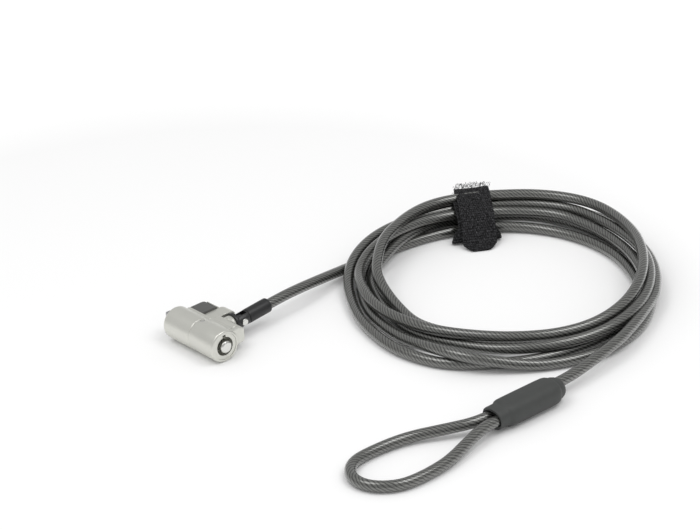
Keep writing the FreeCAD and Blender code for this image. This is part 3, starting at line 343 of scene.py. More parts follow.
def woven(name, sizes):
    """Hook and loop fabric: rows of small raised loops, each row set half a loop aside. Its colour
    follows the height: painted shade in the hollows between the loops and painted highlight on their
    raised tops, with random fuzz.
    """
    finish = Finish(name)
    across, along = map_along(finish)
    row_length, loop_width = 1.15, 0.95
    wander = finish.grain(0.5, 2.0) - 0.5
    row = along / row_length + wander * 0.6
    stitch = across / loop_width + row.whole() * 0.5 + wander * 0.8
    row_edge = abs(row.fraction() - 0.5) * 2.0
    stitch_edge = abs(stitch.fraction() - 0.5) * 2.0
    raised = (1.0 - row_edge * row_edge) * (1.0 - stitch_edge * stitch_edge)
    fuzz = finish.grain(1.3, 3.0, 0.75)
    height = (raised * 0.45 + (fuzz - 0.42) * 2.6).clamp()
    shade = sizes.colour
    # painted shade in the hollows between loops, painted highlight on the raised loops; the fuzz adds
    # random tone
    finish.set(Base_Color=finish.blend(height ** 1.6, scaled(shade, 0.25), scaled(shade, 5.0)),
               Roughness=0.95, Specular_IOR_Level=0.15)
    finish.bump(height, 0.4)
    return finish.material


# Meshes
def new_object(name, mesh, *materials):
    """Object in the scene with its materials."""
    piece = bpy.data.objects.new(name, mesh)
    bpy.context.scene.collection.objects.link(piece)
    for material in materials:
        piece.data.materials.append(material)
    return piece


def mesh_from(name, points, faces, smooth=True):
    """Mesh from points in millimetres."""
    mesh = bpy.data.meshes.new(name)
    mesh.from_pydata([Vector(point) * MM for point in points], [], faces)
    mesh.update()
    if smooth:
        mesh.shade_smooth()
    return mesh


def own_mesh(node, name):
    """Copy of a solid's surface with its points joined."""
    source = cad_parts[node].data
    mesh = bpy.data.meshes.new(name)
    mesh.from_pydata([vertex.co.copy() for vertex in source.vertices], [],
                     [tuple(face.vertices) for face in source.polygons])
    form = bmesh.new()
    form.from_mesh(mesh)
    bmesh.ops.remove_doubles(form, verts=form.verts, dist=1e-6)
    bmesh.ops.dissolve_limit(form, angle_limit=math.radians(0.8),
                             verts=form.verts, edges=form.edges)
    form.to_mesh(mesh)
    form.free()
    return mesh


def applied(piece):
    """Bake a piece's modifiers into its mesh."""
    bpy.context.view_layer.update()
    graph = bpy.context.evaluated_depsgraph_get()
    mesh = bpy.data.meshes.new_from_object(piece.evaluated_get(graph))
    old = piece.data
    piece.modifiers.clear()
    piece.data = mesh
    bpy.data.meshes.remove(old)
    return piece


def eased(node, name, width, material, body):
    """Piece with the solid's form and its sharp edges eased."""
    piece = new_object(name, own_mesh(node, name), material)
    ease = piece.modifiers.new("ease", "BEVEL")
    ease.width = width * MM
    ease.segments = 3
    ease.limit_method = "ANGLE"
    ease.angle_limit = EDGE_ANGLE
    ease.harden_normals = False
    applied(piece)
    piece.data.shade_smooth()
    piece.data.set_sharp_from_angle(angle=EDGE_ANGLE)
    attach(piece, body)
    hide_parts(node)
    return piece


def surface_only(node, material):
    """Give a solid that keeps its shape its finish."""
    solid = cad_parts[node]
    if not solid.material_slots:
        solid.data.materials.append(material)
    for slot in solid.material_slots:
        slot.material = material


# The cable's route
def above_table(x, y, height):
    """Point at a height above the table."""
    return Vector((x, y, height + TABLE_Z))


def cable_end_point(along):
    """Point of the cable's middle at a distance from the rivet."""
    return Vector((SWIVEL[0], SWIVEL[1] + along * math.cos(CABLE_TILT),
                   SWIVEL[2] + along * math.sin(CABLE_TILT)))


def beside_ferrule(across, along, height):
    """Point across and along the ferrule from its loop end, above the table."""
    sine, cosine = math.sin(FERRULE_HEADING), math.cos(FERRULE_HEADING)
    return above_table(FERRULE_START[0] + along * sine + across * cosine,
                       FERRULE_START[1] + along * cosine - across * sine, height)


def strand_point(side, along):
    """Point on one of the two strands in the ferrule."""
    return beside_ferrule(side * STRAND_HALF, along, FERRULE_HEIGHT)


def eye_point(across, reach, height):
    """Point of the eye by shares of its half width and reach."""
    return beside_ferrule(across * EYE_HALF_WIDTH, -reach * EYE_REACH, height)


# Lead from the sleeve to the coil and tail from the coil to the ferrule: x, y, height above the table
LEAD = [(17.6, 52.0, 7.7), (15.4, 64.5, 6.0), (12.4, 77.5, 3.7)]
TAIL = [(137.2, 126.5, 6.9), (140.9, 116.6, 7.0), (143.8, 107.6, 6.9), (146.1, 94.0, 6.4)]

# The eye: shares of its half width and reach, rise of its middle above where it lies
EYE = [
    (-0.57, 0.27, 1.45), (-1.03, 0.47, 0.35), (-1.17, 0.70, 0), (-1.13, 0.90, 0), (-0.64, 1.01, 0),
    (0.0, 1.005, 0), (0.51, 0.875, 0), (0.61, 0.71, 0), (0.56, 0.48, 0.35), (0.32, 0.28, 1.45)]

# Turns of the coil, clockwise from above: direction in degrees, radius, height above the table
FIRST_TURN = [
    (203, 66.4, 2.3), (196, 63.6, 2.3), (187, 61.0, 2.3), (178, 59.8, 2.3), (165, 58.8, 2.5),
    (150, 57.8, 2.8), (135, 57.0, 2.8), (120, 56.4, 2.5), (108, 55.8, 2.3), (97, 55.2, 2.3),
    (88, 54.8, 2.3), (79, 54.6, 2.3), (71, 54.5, 2.3), (59, 54.5, 2.3), (48, 55.4, 2.3),
    (40, 56.0, 2.3), (32, 55.8, 2.3), (23, 54.6, 2.3), (15, 52.8, 2.3), (8, 50.8, 2.3),
    (0, 48.8, 2.3), (345, 46.9, 2.3), (330, 45.8, 2.3), (315, 44.6, 2.3), (300, 43.8, 2.3),
    (284, 44.1, 2.3), (268, 45.6, 2.4)]
OVER_THE_TOP = [
    (252, 45.8, 3.0), (245, 46.8, 4.0), (237, 48.3, 5.5), (229, 50.2, 7.2), (222, 51.8, 8.6),
    (215, 52.6, 9.9), (208, 53.6, 11.0), (202, 54.7, 11.9), (195, 56.0, 12.5), (186, 57.4, 12.8),
    (176, 60.4, 12.6), (166, 63.7, 12.4), (158, 65.0, 12.3), (146, 65.3, 12.2), (134, 65.4, 12.1),
    (121, 66.6, 12.1), (106, 67.4, 12.1), (96, 66.0, 12.4), (85, 63.2, 12.8), (75, 60.9, 13.4),
    (61, 58.8, 14.2), (52, 58.1, 14.4), (43, 57.9, 14.2), (33, 58.2, 13.7), (24, 58.7, 12.6),
    (14, 59.0, 11.2), (3, 58.7, 9.6), (352, 57.9, 8.5), (339, 56.1, 7.8), (323, 53.8, 7.6),
    (306, 52.0, 7.2), (287, 51.9, 6.8), (270, 52.3, 6.4)]
MIDDLE_TURN = [
    (256, 53.7, 6.1), (247, 55.0, 6.1), (239, 56.2, 6.2), (231, 57.2, 6.2), (222, 58.8, 5.6),
    (214, 60.0, 5.6), (207, 60.0, 6.8), (200, 59.6, 7.8), (190, 59.2, 8.4), (180, 59.4, 8.4),
    (165, 60.2, 8.0), (146, 60.4, 7.6), (130, 61.6, 7.2), (111, 62.1, 7.2), (101, 60.5, 6.8),
    (90, 59.0, 6.5), (75, 57.7, 6.2), (60, 57.2, 6.3), (45, 57.9, 6.2), (30, 59.2, 5.2),
    (15, 60.0, 3.6), (0, 60.2, 2.4), (345, 60.8, 2.3), (338, 61.4, 2.3), (330, 62.2, 2.3),
    (322, 63.0, 2.3), (315, 63.6, 2.3), (308, 64.6, 2.3), (301, 65.7, 2.3), (294, 66.4, 2.3),
    (286, 66.0, 2.3), (277, 65.2, 2.3)]
OUTER_TURN = [
    (262, 62.9, 2.3), (248, 61.9, 2.3), (234, 61.8, 2.4), (222, 63.2, 3.2), (213, 64.5, 4.8),
    (206, 64.8, 6.4), (198, 65.0, 7.2), (191, 65.1, 7.6), (183, 64.9, 8.1), (174, 64.6, 8.6),
    (162, 64.5, 9.0), (146, 64.7, 9.2), (130, 65.4, 9.5), (112, 66.0, 9.5), (104, 65.0, 9.4),
    (94, 62.4, 9.4), (85, 60.9, 9.7), (73, 60.0, 10.0), (64, 59.9, 10.2), (54, 60.1, 10.4),
    (41, 60.5, 10.5), (25, 61.7, 10.0), (10, 62.9, 9.0), (358, 63.4, 7.9), (345, 62.3, 6.7),
    (330, 60.0, 5.9), (315, 56.8, 5.2), (298, 52.6, 4.4), (288, 51.2, 3.8), (276, 50.3, 3.1)]
LOW_TURN = [
    (262, 49.2, 2.5), (250, 48.4, 2.3), (238, 48.6, 2.3), (226, 51.0, 2.3), (218, 53.6, 2.4),
    (211, 55.0, 2.6), (204, 55.8, 3.2), (196, 56.2, 4.2), (188, 57.0, 5.4), (178, 58.8, 5.8),
    (168, 61.4, 5.0), (158, 64.0, 3.6), (146, 64.2, 3.4), (132, 65.2, 3.4), (121, 66.0, 3.0),
    (113, 65.4, 2.6), (103, 63.8, 2.4), (93, 62.2, 2.3), (87, 61.5, 2.3), (75, 61.0, 2.3),
    (60, 60.8, 2.3), (45, 60.8, 2.3), (36, 61.4, 2.3), (27, 62.8, 2.3), (16, 65.0, 2.3),
    (7, 66.6, 2.3), (355, 68.0, 2.3), (348, 68.3, 2.3), (340, 68.4, 2.3), (334, 68.1, 2.3),
    (328, 67.7, 2.4), (321, 67.2, 3.4), (315, 67.0, 4.6), (310, 67.0, 5.6), (305, 66.9, 6.2),
    (300, 66.0, 6.6), (295, 64.6, 6.5), (290, 62.8, 6.0), (285, 61.0, 5.2), (280, 59.0, 3.9),
    (269, 57.0, 2.6)]
LAST_TURN = [
    (256, 56.2, 2.3), (247, 56.5, 2.3), (232, 57.2, 2.3), (223, 58.6, 2.3), (212, 60.4, 3.0),
    (204, 61.6, 4.0), (197, 62.6, 4.8), (190, 64.0, 4.8), (182, 66.0, 4.2), (172, 67.6, 3.6),
    (164, 68.4, 4.0), (156, 68.8, 5.3), (146, 68.8, 6.7), (130, 68.6, 6.9), (115, 69.0, 6.9),
    (106, 68.8, 6.8), (97, 68.0, 6.9), (88, 66.4, 6.9), (79, 64.6, 6.8), (70, 63.4, 6.8),
    (58, 62.4, 6.8), (48, 61.9, 6.8), (38, 61.8, 6.8), (30, 62.1, 6.8), (24, 62.9, 6.7)]


def coil_stations():
    """The listed stations with their directions counted on through the turns."""
    stations = []
    travelled = None
    for direction, radius, height in (FIRST_TURN + OVER_THE_TOP + MIDDLE_TURN + OUTER_TURN
                                      + LOW_TURN + LAST_TURN):
        if travelled is None:
            travelled = float(direction)
        else:
            travelled -= (travelled - direction) % 360
        stations.append((travelled, radius, height))
    return stations


def eased_between(stations, travelled):
    """Radius and height between stations, on a curve through them."""
    for number in range(len(stations) - 1):
        if stations[number + 1][0] <= travelled:
            break
    before = stations[max(number - 1, 0)]
    start, end = stations[number], stations[number + 1]
    after = stations[min(number + 2, len(stations) - 1)]
    share = (start[0] - travelled) / (start[0] - end[0])
    values = []
    for kind in (1, 2):
        slope_in = (end[kind] - before[kind]) / max(before[0] - end[0], 1e-6)
        slope_out = (after[kind] - start[kind]) / max(start[0] - after[0], 1e-6)
        span = start[0] - end[0]
        square, cube = share * share, share ** 3
        values.append((2 * cube - 3 * square + 1) * start[kind]
                      + (cube - 2 * square + share) * span * slope_in
                      + (3 * square - 2 * cube) * end[kind]
                      + (cube - square) * span * slope_out)
    return values


def coil_points(step=5.0):
    """Points of all the turns, a few degrees apart, settled onto each other."""
    stations = coil_stations()
    points = []
    travelled = stations[0][0]
    while travelled >= stations[-1][0]:
        radius, height = eased_between(stations, travelled)
        angle = math.radians(travelled)
        points.append(above_table(COIL_CENTRE[0] + radius * math.cos(angle),
                                  COIL_CENTRE[1] + radius * math.sin(angle), height))
        travelled -= step
    return settled(points)


def settled(points, rounds=140):
    """Push turns that lie in each other apart, and keep them on the table.

    Each round gives a share of every overlap, evens the shifts out along the cable and lets them
    fade a little. Points fewer steps apart than same_turn belong to the same stretch of cable.
    """
    wanted = 2 * CABLE_RADIUS + 0.06
    search = wanted + 2.2
    same_turn = 8
    give = 0.22
    fade = 0.996
    lowest = TABLE_Z + CABLE_RADIUS + 0.02
    shift = [Vector() for point in points]
    for attempt in range(rounds):
        now = [point + move for point, move in zip(points, shift)]
        tree = KDTree(len(now))
        for number, point in enumerate(now):
            tree.insert(point, number)
        tree.balance()
        push = [Vector() for point in now]
        for number, point in enumerate(now):
            for other, index, distance in tree.find_range(point, search):
                if abs(index - number) < same_turn:
                    continue
                ahead = now[min(index + 1, len(now) - 1)] - now[max(index - 1, 0)]
                ahead.normalize()
                across = point - other
                across -= ahead * across.dot(ahead)
                gap = across.length
                if 1e-6 < gap < wanted:
                    push[number] += across * ((wanted - gap) / gap * give)
        for number, point in enumerate(now):
            shift[number] = (shift[number] + push[number]) * fade
        for sweep in range(2):
            shift = [shift[0]] + [
                shift[k] * 0.5 + (shift[k - 1] + shift[k + 1]) * 0.25
                for k in range(1, len(shift) - 1)] + [shift[-1]]
        for number, point in enumerate(points):
            if point.z + shift[number].z < lowest:
                shift[number].z = lowest - point.z
    return [point + move for point, move in zip(points, shift)]


def cable_route():
    """Points that the cable's line follows, from the rivet to the end inside the ferrule."""
    route = [cable_end_point(5.6), cable_end_point(21.0)]
    route += [above_table(*spot) for spot in LEAD]
    route += coil_points()
    route += [above_table(*spot) for spot in TAIL]
    route += [strand_point(-1, along) for along in (FERRULE_LENGTH + 8.5, 29.6, 4.6, -6.0)]
    route += [eye_point(across, reach, LYING + rise) for across, reach, rise in EYE]
    route += [strand_point(1, along) for along in (-6.0, 4.6, 27.0)]
    return route


def line_of(name, route, least=1.3):
    """Points of the smooth spline that a route controls, none closer together than the least step."""
    data = bpy.data.curves.new(name, "CURVE")
    data.dimensions = "3D"
    spline = data.splines.new("NURBS")
    spline.points.add(len(route) - 1)
    for entry, point in zip(spline.points, route):
        entry.co = (point.x * MM, point.y * MM, point.z * MM, 1.0)
    spline.order_u = 3
    spline.use_endpoint_u = True
    spline.resolution_u = 10
    guide = bpy.data.objects.new(name, data)
    bpy.context.scene.collection.objects.link(guide)
    mesh = bpy.data.meshes.new_from_object(guide)
    line = [vertex.co.copy() / MM for vertex in mesh.vertices]
    bpy.data.meshes.remove(mesh)
    bpy.data.objects.remove(guide)
    bpy.data.curves.remove(data)
    kept = [line[0]]
    for point in line[1:-1]:
        if (point - kept[-1]).length > least:
            kept.append(point)
    kept.append(line[-1])
    return kept


def marks_along(line):
    """Distance travelled at each point of a line."""
    marks = [0.0]
    for before, after in zip(line, line[1:]):
        marks.append(marks[-1] + (after - before).length)
    return marks


def way_at(line, number):
    """Direction of a line at one of its points."""
    return (line[min(number + 1, len(line) - 1)] - line[max(number - 1, 0)]).normalized()


def tube_along(name, line, radius, sides, material):
    """Round tube along a line, with a map of the share round it and the millimetres along it."""
    points, faces, shares = [], [], []
    marks = marks_along(line)
    side = way_at(line, 0).cross(Vector((0, 0, 1))).normalized()
    for number, point in enumerate(line):
        way = way_at(line, number)
        side = (side - way * side.dot(way)).normalized()
        up = side.cross(way)
        for k in range(sides):
            angle = 2 * math.pi * k / sides
            points.append(point + (side * math.cos(angle) + up * math.sin(angle)) * radius)
    for ring in range(len(line) - 1):
        for k in range(sides):
            following = (k + 1) % sides
            faces.append((ring * sides + k, (ring + 1) * sides + k,
                          (ring + 1) * sides + following, ring * sides + following))
            shares.append(((k / sides, marks[ring]), (k / sides, marks[ring + 1]),
                           ((k + 1) / sides, marks[ring + 1]), ((k + 1) / sides, marks[ring])))
    last = (len(line) - 1) * sides
    faces.append(tuple(range(sides)))
    faces.append(tuple(last + k for k in reversed(range(sides))))
    for ring in (0, len(line) - 1):
        shares.append(tuple((k / sides, marks[ring]) for k in range(sides)))
    mesh = mesh_from(name, points, faces)
    put_map(mesh, shares)
    return new_object(name, mesh, material)


def put_map(mesh, shares):
    """Give each corner of each face its place on the map."""
    layer = mesh.uv_layers.new(name="along")
    for face, corners in zip(mesh.polygons, shares):
        for loop, corner in zip(face.loop_indices, corners):
            layer.data[loop].uv = corner


class CABLELOCK_OT_stage(bpy.types.Operator):
    """Table, light and camera"""
    bl_idname = "cable_lock.stage"
    bl_label = "Table, light and camera"

    def execute(self, context):
        sizes = context.scene.cable_lock_stage
        make_floor(sizes)
        make_light(sizes)
        make_camera(context)
        return {"FINISHED"}


def make_floor(sizes):
    """Pale table that runs out into white away from the object."""
    half = 4000.0
    corners = [(-half, -half), (half, -half), (half, half), (-half, half)]
    mesh = mesh_from("table", [(x, y, TABLE_Z) for x, y in corners], [(0, 1, 2, 3)], False)
    finish = Finish("table_white")
    shade = finish.grain(0.01, 2.0)
    finish.set(Base_Color=finish.blend(shade, scaled(sizes.floor, 0.995), sizes.floor),
               Roughness=0.9, Specular_IOR_Level=0.0)
    glow = finish.tree.nodes.new("ShaderNodeEmission")
    seen = finish.node("ShaderNodeLightPath", result="Is Camera Ray")
    mirrored = finish.node("ShaderNodeLightPath", result="Is Glossy Ray")
    distance = finish.node("ShaderNodeVectorMath", {"operation": "LENGTH"},
                           {"Vector": finish.place()}, result="Value")
    glow_from, glow_over, near, rise = 210.0, 400.0, 0.02, 0.7
    far = ((distance - glow_from) / glow_over).clamp()
    connect(finish.tree, glow.inputs["Strength"], (seen + mirrored).clamp() * (near + far * rise))
    both = finish.tree.nodes.new("ShaderNodeAddShader")
    finish.tree.links.new(finish.shader.outputs[0], both.inputs[0])
    finish.tree.links.new(glow.outputs[0], both.inputs[1])
    finish.tree.links.new(both.outputs[0], finish.output.inputs["Surface"])
    new_object("table", mesh, finish.material)


def make_light(sizes):
    """White surroundings that light the object a little less than they show, and two soft lamps."""
    world = bpy.data.worlds.new("white_tent")
    bpy.context.scene.world = world
    world.use_nodes = True
    tree = world.node_tree
    tree.nodes.clear()
    output = tree.nodes.new("ShaderNodeOutputWorld")
    tent = tree.nodes.new("ShaderNodeBackground")
    tent.inputs["Color"].default_value = (1.0, 1.0, 1.0, 1.0)
    path = tree.nodes.new("ShaderNodeLightPath")
    seen = Signal(tree, path.outputs["Is Camera Ray"])
    mirrored = Signal(tree, path.outputs["Is Glossy Ray"])
    plain, mirrored_less = 0.74, 0.20
    connect(tree, tent.inputs["Strength"],
            (seen * (1 - plain) + mirrored * -mirrored_less + plain).clamp())
    tree.links.new(tent.outputs[0], output.inputs["Surface"])
    middle = Vector((85, 60, 0))
    reach = 900
    for name, way, power in (("right_softbox", (0.41, 0.19, 0.89), 1.9),
                             ("left_softbox", (-0.19, -0.40, 0.90), 1.6)):
        add_lamp(name, middle + Vector(way) * reach, middle, sizes.softness, power)


def add_lamp(name, place, target, width, power):
    """Square soft light aimed at a point."""
    data = bpy.data.lights.new(name, "AREA")
    data.shape = "SQUARE"
    data.size = width
    data.energy = power
    lamp = bpy.data.objects.new(name, data)
    lamp.location = place * MM
    lamp.rotation_euler = (target - place).to_track_quat("-Z", "Y").to_euler()
    bpy.context.scene.collection.objects.link(lamp)


def make_camera(context):
    """The photograph's camera: its place in metres, its direction and its lens."""
    place = Vector((0.7057, -0.4954, 0.45185))
    heading, dip, roll = math.radians(50.14), math.radians(26.70), math.radians(4.0)
    level = math.cos(dip)
    forward = Vector((-math.sin(heading) * level, math.cos(heading) * level, -math.sin(dip)))
    right = Vector((math.cos(heading), math.sin(heading), 0))
    up = right.cross(forward)
    turned_right = right * math.cos(roll) - up * math.sin(roll)
    turned_up = right * math.sin(roll) + up * math.cos(roll)
    data = bpy.data.cameras.new("camera")
    data.lens = 123.43
    data.sensor_width = 36.0
    data.clip_start = 0.01
    data.clip_end = 20.0
    camera = bpy.data.objects.new("camera", data)
    camera.matrix_world = Matrix((
        (turned_right.x, turned_up.x, -forward.x, place.x),
        (turned_right.y, turned_up.y, -forward.y, place.y),
        (turned_right.z, turned_up.z, -forward.z, place.z),
        (0, 0, 0, 1)))
    context.scene.collection.objects.link(camera)
    context.scene.camera = camera


class CABLELOCK_OT_ferrule(bpy.types.Operator):
    """Dark cover where the eye closes"""
    bl_idname = "cable_lock.ferrule"
    bl_label = "Ferrule"

    def execute(self, context):
        material = moulded("cover_plastic_finish", (0.045, 0.048, 0.046), 0.55, 0.016, 6.0)
        # the second material is a near-black painted shade inside the mouth at the loop end
        cover = new_object("ferrule_cover_moulded", ferrule_mesh(), material,
                           moulded("cover_inside_painted_shade", (0.006, 0.006, 0.006), 0.9))
        cover.data.set_sharp_from_angle(angle=math.radians(50))
        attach(cover, "cable")
        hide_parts("ferrule_cover")
        surface_only("ferrule_crimp", bright_metal("crimp_aluminium_finish", (0.6, 0.6, 0.61), 0.35))
        return {"FINISHED"}


# Sections of the ferrule cover: along, half width, half height
COVER_SECTIONS = [
    (33.9, 3.1, 2.75), (34.2, 3.5, 3.0), (34.0, 3.95, 3.4), (33.2, 4.6, 3.8), (32.0, 4.95, 4.05),
    (31.3, 5.05, 4.1), (30.9, 5.15, 4.15), (30.4, 5.6, 4.5), (29.6, 6.0, 4.8), (28.4, 6.22, 4.94),
    (26.0, 6.3, 5.0), (18.0, 6.32, 5.0), (9.0, 6.3, 5.0), (6.6, 6.24, 4.96), (5.7, 6.05, 4.85),
    (5.0, 5.65, 4.55), (4.5, 5.42, 4.34), (4.1, 5.36, 4.28), (2.4, 5.34, 4.24), (0.6, 5.32, 4.2),
    (0.18, 5.26, 4.14), (0.0, 5.12, 4.0), (0.0, 4.98, 3.5), (0.1, 4.88, 3.0), (0.5, 4.82, 2.78),
    (3.6, 4.75, 2.7), (3.7, 0.5, 0.5)]


def ferrule_mesh():
    """Oval cover with a stepped collar at the loop and a rounded mouth at the tail."""
    count = 72
    inner_sections = 3
    body_power, mouth_power = 2.35, 2.1
    points, faces = [], []
    for along, wide, high in COVER_SECTIONS:
        on_body = wide > 4.5 and high > 3.9
        power = body_power if on_body else mouth_power
        round_tail = along > 33.5 and wide < 3.3
        shift = -STRAND_HALF * 0.62 if round_tail else 0.0
        for k in range(count):
            angle = 2 * math.pi * k / count
            cosine, sine = math.cos(angle), math.sin(angle)
            reach = (abs(cosine) ** power + abs(sine) ** power) ** (-1 / power)
            points.append(beside_ferrule(cosine * reach * wide + shift, along,
                                         FERRULE_HEIGHT + sine * reach * high))
    for ring in range(len(COVER_SECTIONS) - 1):
        for k in range(count):
            following = (k + 1) % count
            faces.append((ring * count + k, ring * count + following,
                          (ring + 1) * count + following, (ring + 1) * count + k))
    last = (len(COVER_SECTIONS) - 1) * count
    faces.append(tuple(range(count))[::-1])
    faces.append(tuple(last + k for k in range(count)))
    mesh = mesh_from("ferrule_cover_moulded", points, faces)
    # faces inside the mouth at the loop end take the near-black painted shade
    inner = (len(COVER_SECTIONS) - 1 - inner_sections) * count
    tail_cap = len(faces) - 2
    for number, face in enumerate(mesh.polygons):
        face.material_index = 1 if number >= inner and number != tail_cap else 0
    return mesh


class CABLELOCK_OT_cable(bpy.types.Operator):
    """The whole cable on one line: lead, coil, tail, and the eye through its ferrule"""
    bl_idname = "cable_lock.cable"
    bl_label = "Cable"

    def execute(self, context):
        sizes = context.scene.cable_lock_cable
        sides = 20
        line = line_of("cable_route", cable_route())
        cable = tube_along("steel_cable", line, sizes.diameter / 2 / MM, sides,
                           rope_in_jacket("clear_jacket_finish", sizes))
        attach(cable, "cable")
        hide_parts("cable_lead", "cable_coil", "cable_tail", "cable_eye", "crimped_strands")
        path = [point * MM for point in line]
        length = marks_along(path)[-1]
        return {"FINISHED"}


# The strap's line across the coil: distance from the coil's middle, height above the table
STRAP_LINE = [
    (66.0, 14.0), (61.4, 13.1), (56.4, 11.6), (52.0, 9.8), (49.4, 7.6), (48.0, 5.4), (47.3, 3.6),
    (47.2, 1.8), (48.6, 0.8), (52.0, 0.62), (58.0, 0.62), (64.0, 0.62), (69.4, 0.7), (71.6, 2.6),
    (72.3, 6.5), (72.6, 11.0), (72.2, 14.2), (70.2, 15.9),
    (66.6, 16.0), (61.0, 14.9), (55.6, 13.2), (51.0, 11.0), (47.9, 8.4), (46.0, 5.6), (44.8, 3.2),
    (42.6, 1.5), (39.4, 0.85)]

# Where the strap's head begins and ends along it, how long its tab is, and its end's share of the width
HEAD_FROM = 19.0
HEAD_TO = 31.0
TAB_LENGTH = 4.0
TAB_END = 0.52

# Shares of the strap's length: where it starts to lean over, and where it passes the top
LEAN_FROM = 0.30
LEAN_TO = 0.58

# Shares of its length between which its loops stand up
FUZZ_FROM = 0.585
FUZZ_TO = 0.68


class CABLELOCK_OT_strap(bpy.types.Operator):
    """Hook and loop strap round the coil"""
    bl_idname = "cable_lock.strap"
    bl_label = "Strap"

    def execute(self, context):
        sizes = context.scene.cable_lock_strap
        strap, length = strap_piece(sizes, woven("strap_fabric_finish", sizes))
        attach(strap, "cable")
        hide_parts("tie_strap")
        length * MM
        fuzz = new_object("strap_loop_fuzz", fuzz_mesh(sizes),
                          moulded("strap_thread_finish", (0.17, 0.17, 0.175), 0.7))
        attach(fuzz, "cable")
        return {"FINISHED"}


def across_coil(reach, height, sideways):
    """Point on the strap's plane across the coil."""
    cosine, sine = math.cos(STRAP_ANGLE), math.sin(STRAP_ANGLE)
    return above_table(COIL_CENTRE[0] + reach * cosine + sideways * sine,
                       COIL_CENTRE[1] + reach * sine - sideways * cosine, height)


def strap_line():
    """The strap's line in its own plane, and the distance travelled at each point."""
    line = line_of("strap_route", [Vector((reach, 0, height)) for reach, height in STRAP_LINE])
    return line, marks_along(line)


def strap_piece(sizes, material):
    """Band of fabric with two faces and closed edges, and its length."""
    line, marks = strap_line()
    length = marks[-1]
    columns = 24
    half_thick = sizes.thickness / MM / 2
    hollow_depth, ripple_depth, edge_rounding = 0.28, 0.10, 0.4
    points, faces, shares = [], [], []
    for number, point in enumerate(line):
        way = way_at(line, number)
        inward = Vector((-way.z, 0, way.x))
        travelled = marks[number]
        width = strap_width(sizes, travelled, length)
        drift = strap_drift(travelled / length)
        for face_side in (-1, 1):
            for column in range(columns + 1):
                share = column / columns * 2 - 1
                hollow = hollow_depth * (1 - share * share)
                cell = Vector((share * 2.2, travelled * 0.16, face_side * 3.0))
                ripple = ripple_depth * noise.noise(cell)
                rounded = 1 - abs(share) ** 10 * edge_rounding
                spot = point + inward * (half_thick * face_side * rounded + hollow + ripple)
                points.append(across_coil(spot.x, max(spot.z, 0.06), share * width / 2 + drift))
    row = 2 * (columns + 1)
    for ring in range(len(line) - 1):
        for side in (0, 1):
            base = ring * row + side * (columns + 1)
            for column in range(columns):
                low = base + column
                corners = (low, low + 1, low + 1 + row, low + row)
                marked = tuple((share * sizes.width / MM / columns, mark) for share, mark in (
                    (column, marks[ring]), (column + 1, marks[ring]),
                    (column + 1, marks[ring + 1]), (column, marks[ring + 1])))
                faces.append(corners if side else corners[::-1])
                shares.append(marked if side else marked[::-1])
        for column in (0, columns):
            low, high = ring * row + column, ring * row + columns + 1 + column
            corners = (low, high, high + row, low + row)
            faces.append(corners if column == 0 else corners[::-1])
            shares.append(tuple((column, marks[ring]) for corner in corners))
    for ring in (0, len(line) - 1):
        for column in range(columns):
            low = ring * row + column
            corners = (low, low + 1, low + columns + 2, low + columns + 1)
            faces.append(corners if ring == 0 else corners[::-1])
            shares.append(tuple((column, marks[ring]) for corner in corners))
    mesh = mesh_from("strap_fabric_band", points, faces)
    put_map(mesh, shares)
    strap = new_object("strap_fabric_band", mesh, material)
    strap.data.set_sharp_from_angle(angle=math.radians(60))
    return strap, length


def strap_width(sizes, travelled, length):
    """Wide head, plain band, and a tab with clipped corners."""
    plain, head = sizes.width / MM, sizes.head / MM
    if HEAD_FROM < travelled < HEAD_TO:
        share = (travelled - HEAD_FROM) / (HEAD_TO - HEAD_FROM)
        return plain + (head - plain) * math.sin(math.pi * share) ** 0.5
    left = length - travelled
    if left < TAB_LENGTH:
        return plain * (TAB_END + (1 - TAB_END) * (left / TAB_LENGTH) ** 0.8)
    return plain


def strap_drift(share):
    """The band doesn't lie quite square: its top sits to one side of its head and tab."""
    at_head, at_top, at_tab = -1.6, 0.7, -1.1
    if share < LEAN_FROM:
        return at_head
    if share < LEAN_TO:
        return at_head + (at_top - at_head) * (share - LEAN_FROM) / (LEAN_TO - LEAN_FROM)
    return at_top + (at_tab - at_top) * (share - LEAN_TO) / (1 - LEAN_TO)


def fuzz_mesh(sizes):
    """Small loops standing on the strap where it turns over the outermost turns."""
    line, marks = strap_line()
    width = sizes.width / MM
    surface = sizes.thickness / MM / 2 + 0.15
    loops = 16
    points, faces = [], []
    for number in range(1, len(line) - 1):
        share = marks[number] / marks[-1]
        if not FUZZ_FROM < share < FUZZ_TO:
            continue
        way = way_at(line, number)
        out = Vector((way.z, 0, -way.x))
        for place in range(loops):
            chance = [noise.cell(Vector((number * 1.7, place * 2.3, k * 5.1))) for k in range(5)]
            aside = (place + 0.5 + chance[0]) / loops * width - width / 2 + strap_drift(share)
            rise, lean, turn = 0.8 + 1.5 * abs(chance[1]), 0.8 * chance[2], 2.0 * chance[3]
            foot = line[number] + way * chance[4] * 0.8 + out * surface
            add_loop(points, faces, foot, out, way, aside, rise, lean, turn)
    return mesh_from("strap_loop_fuzz", points, faces)


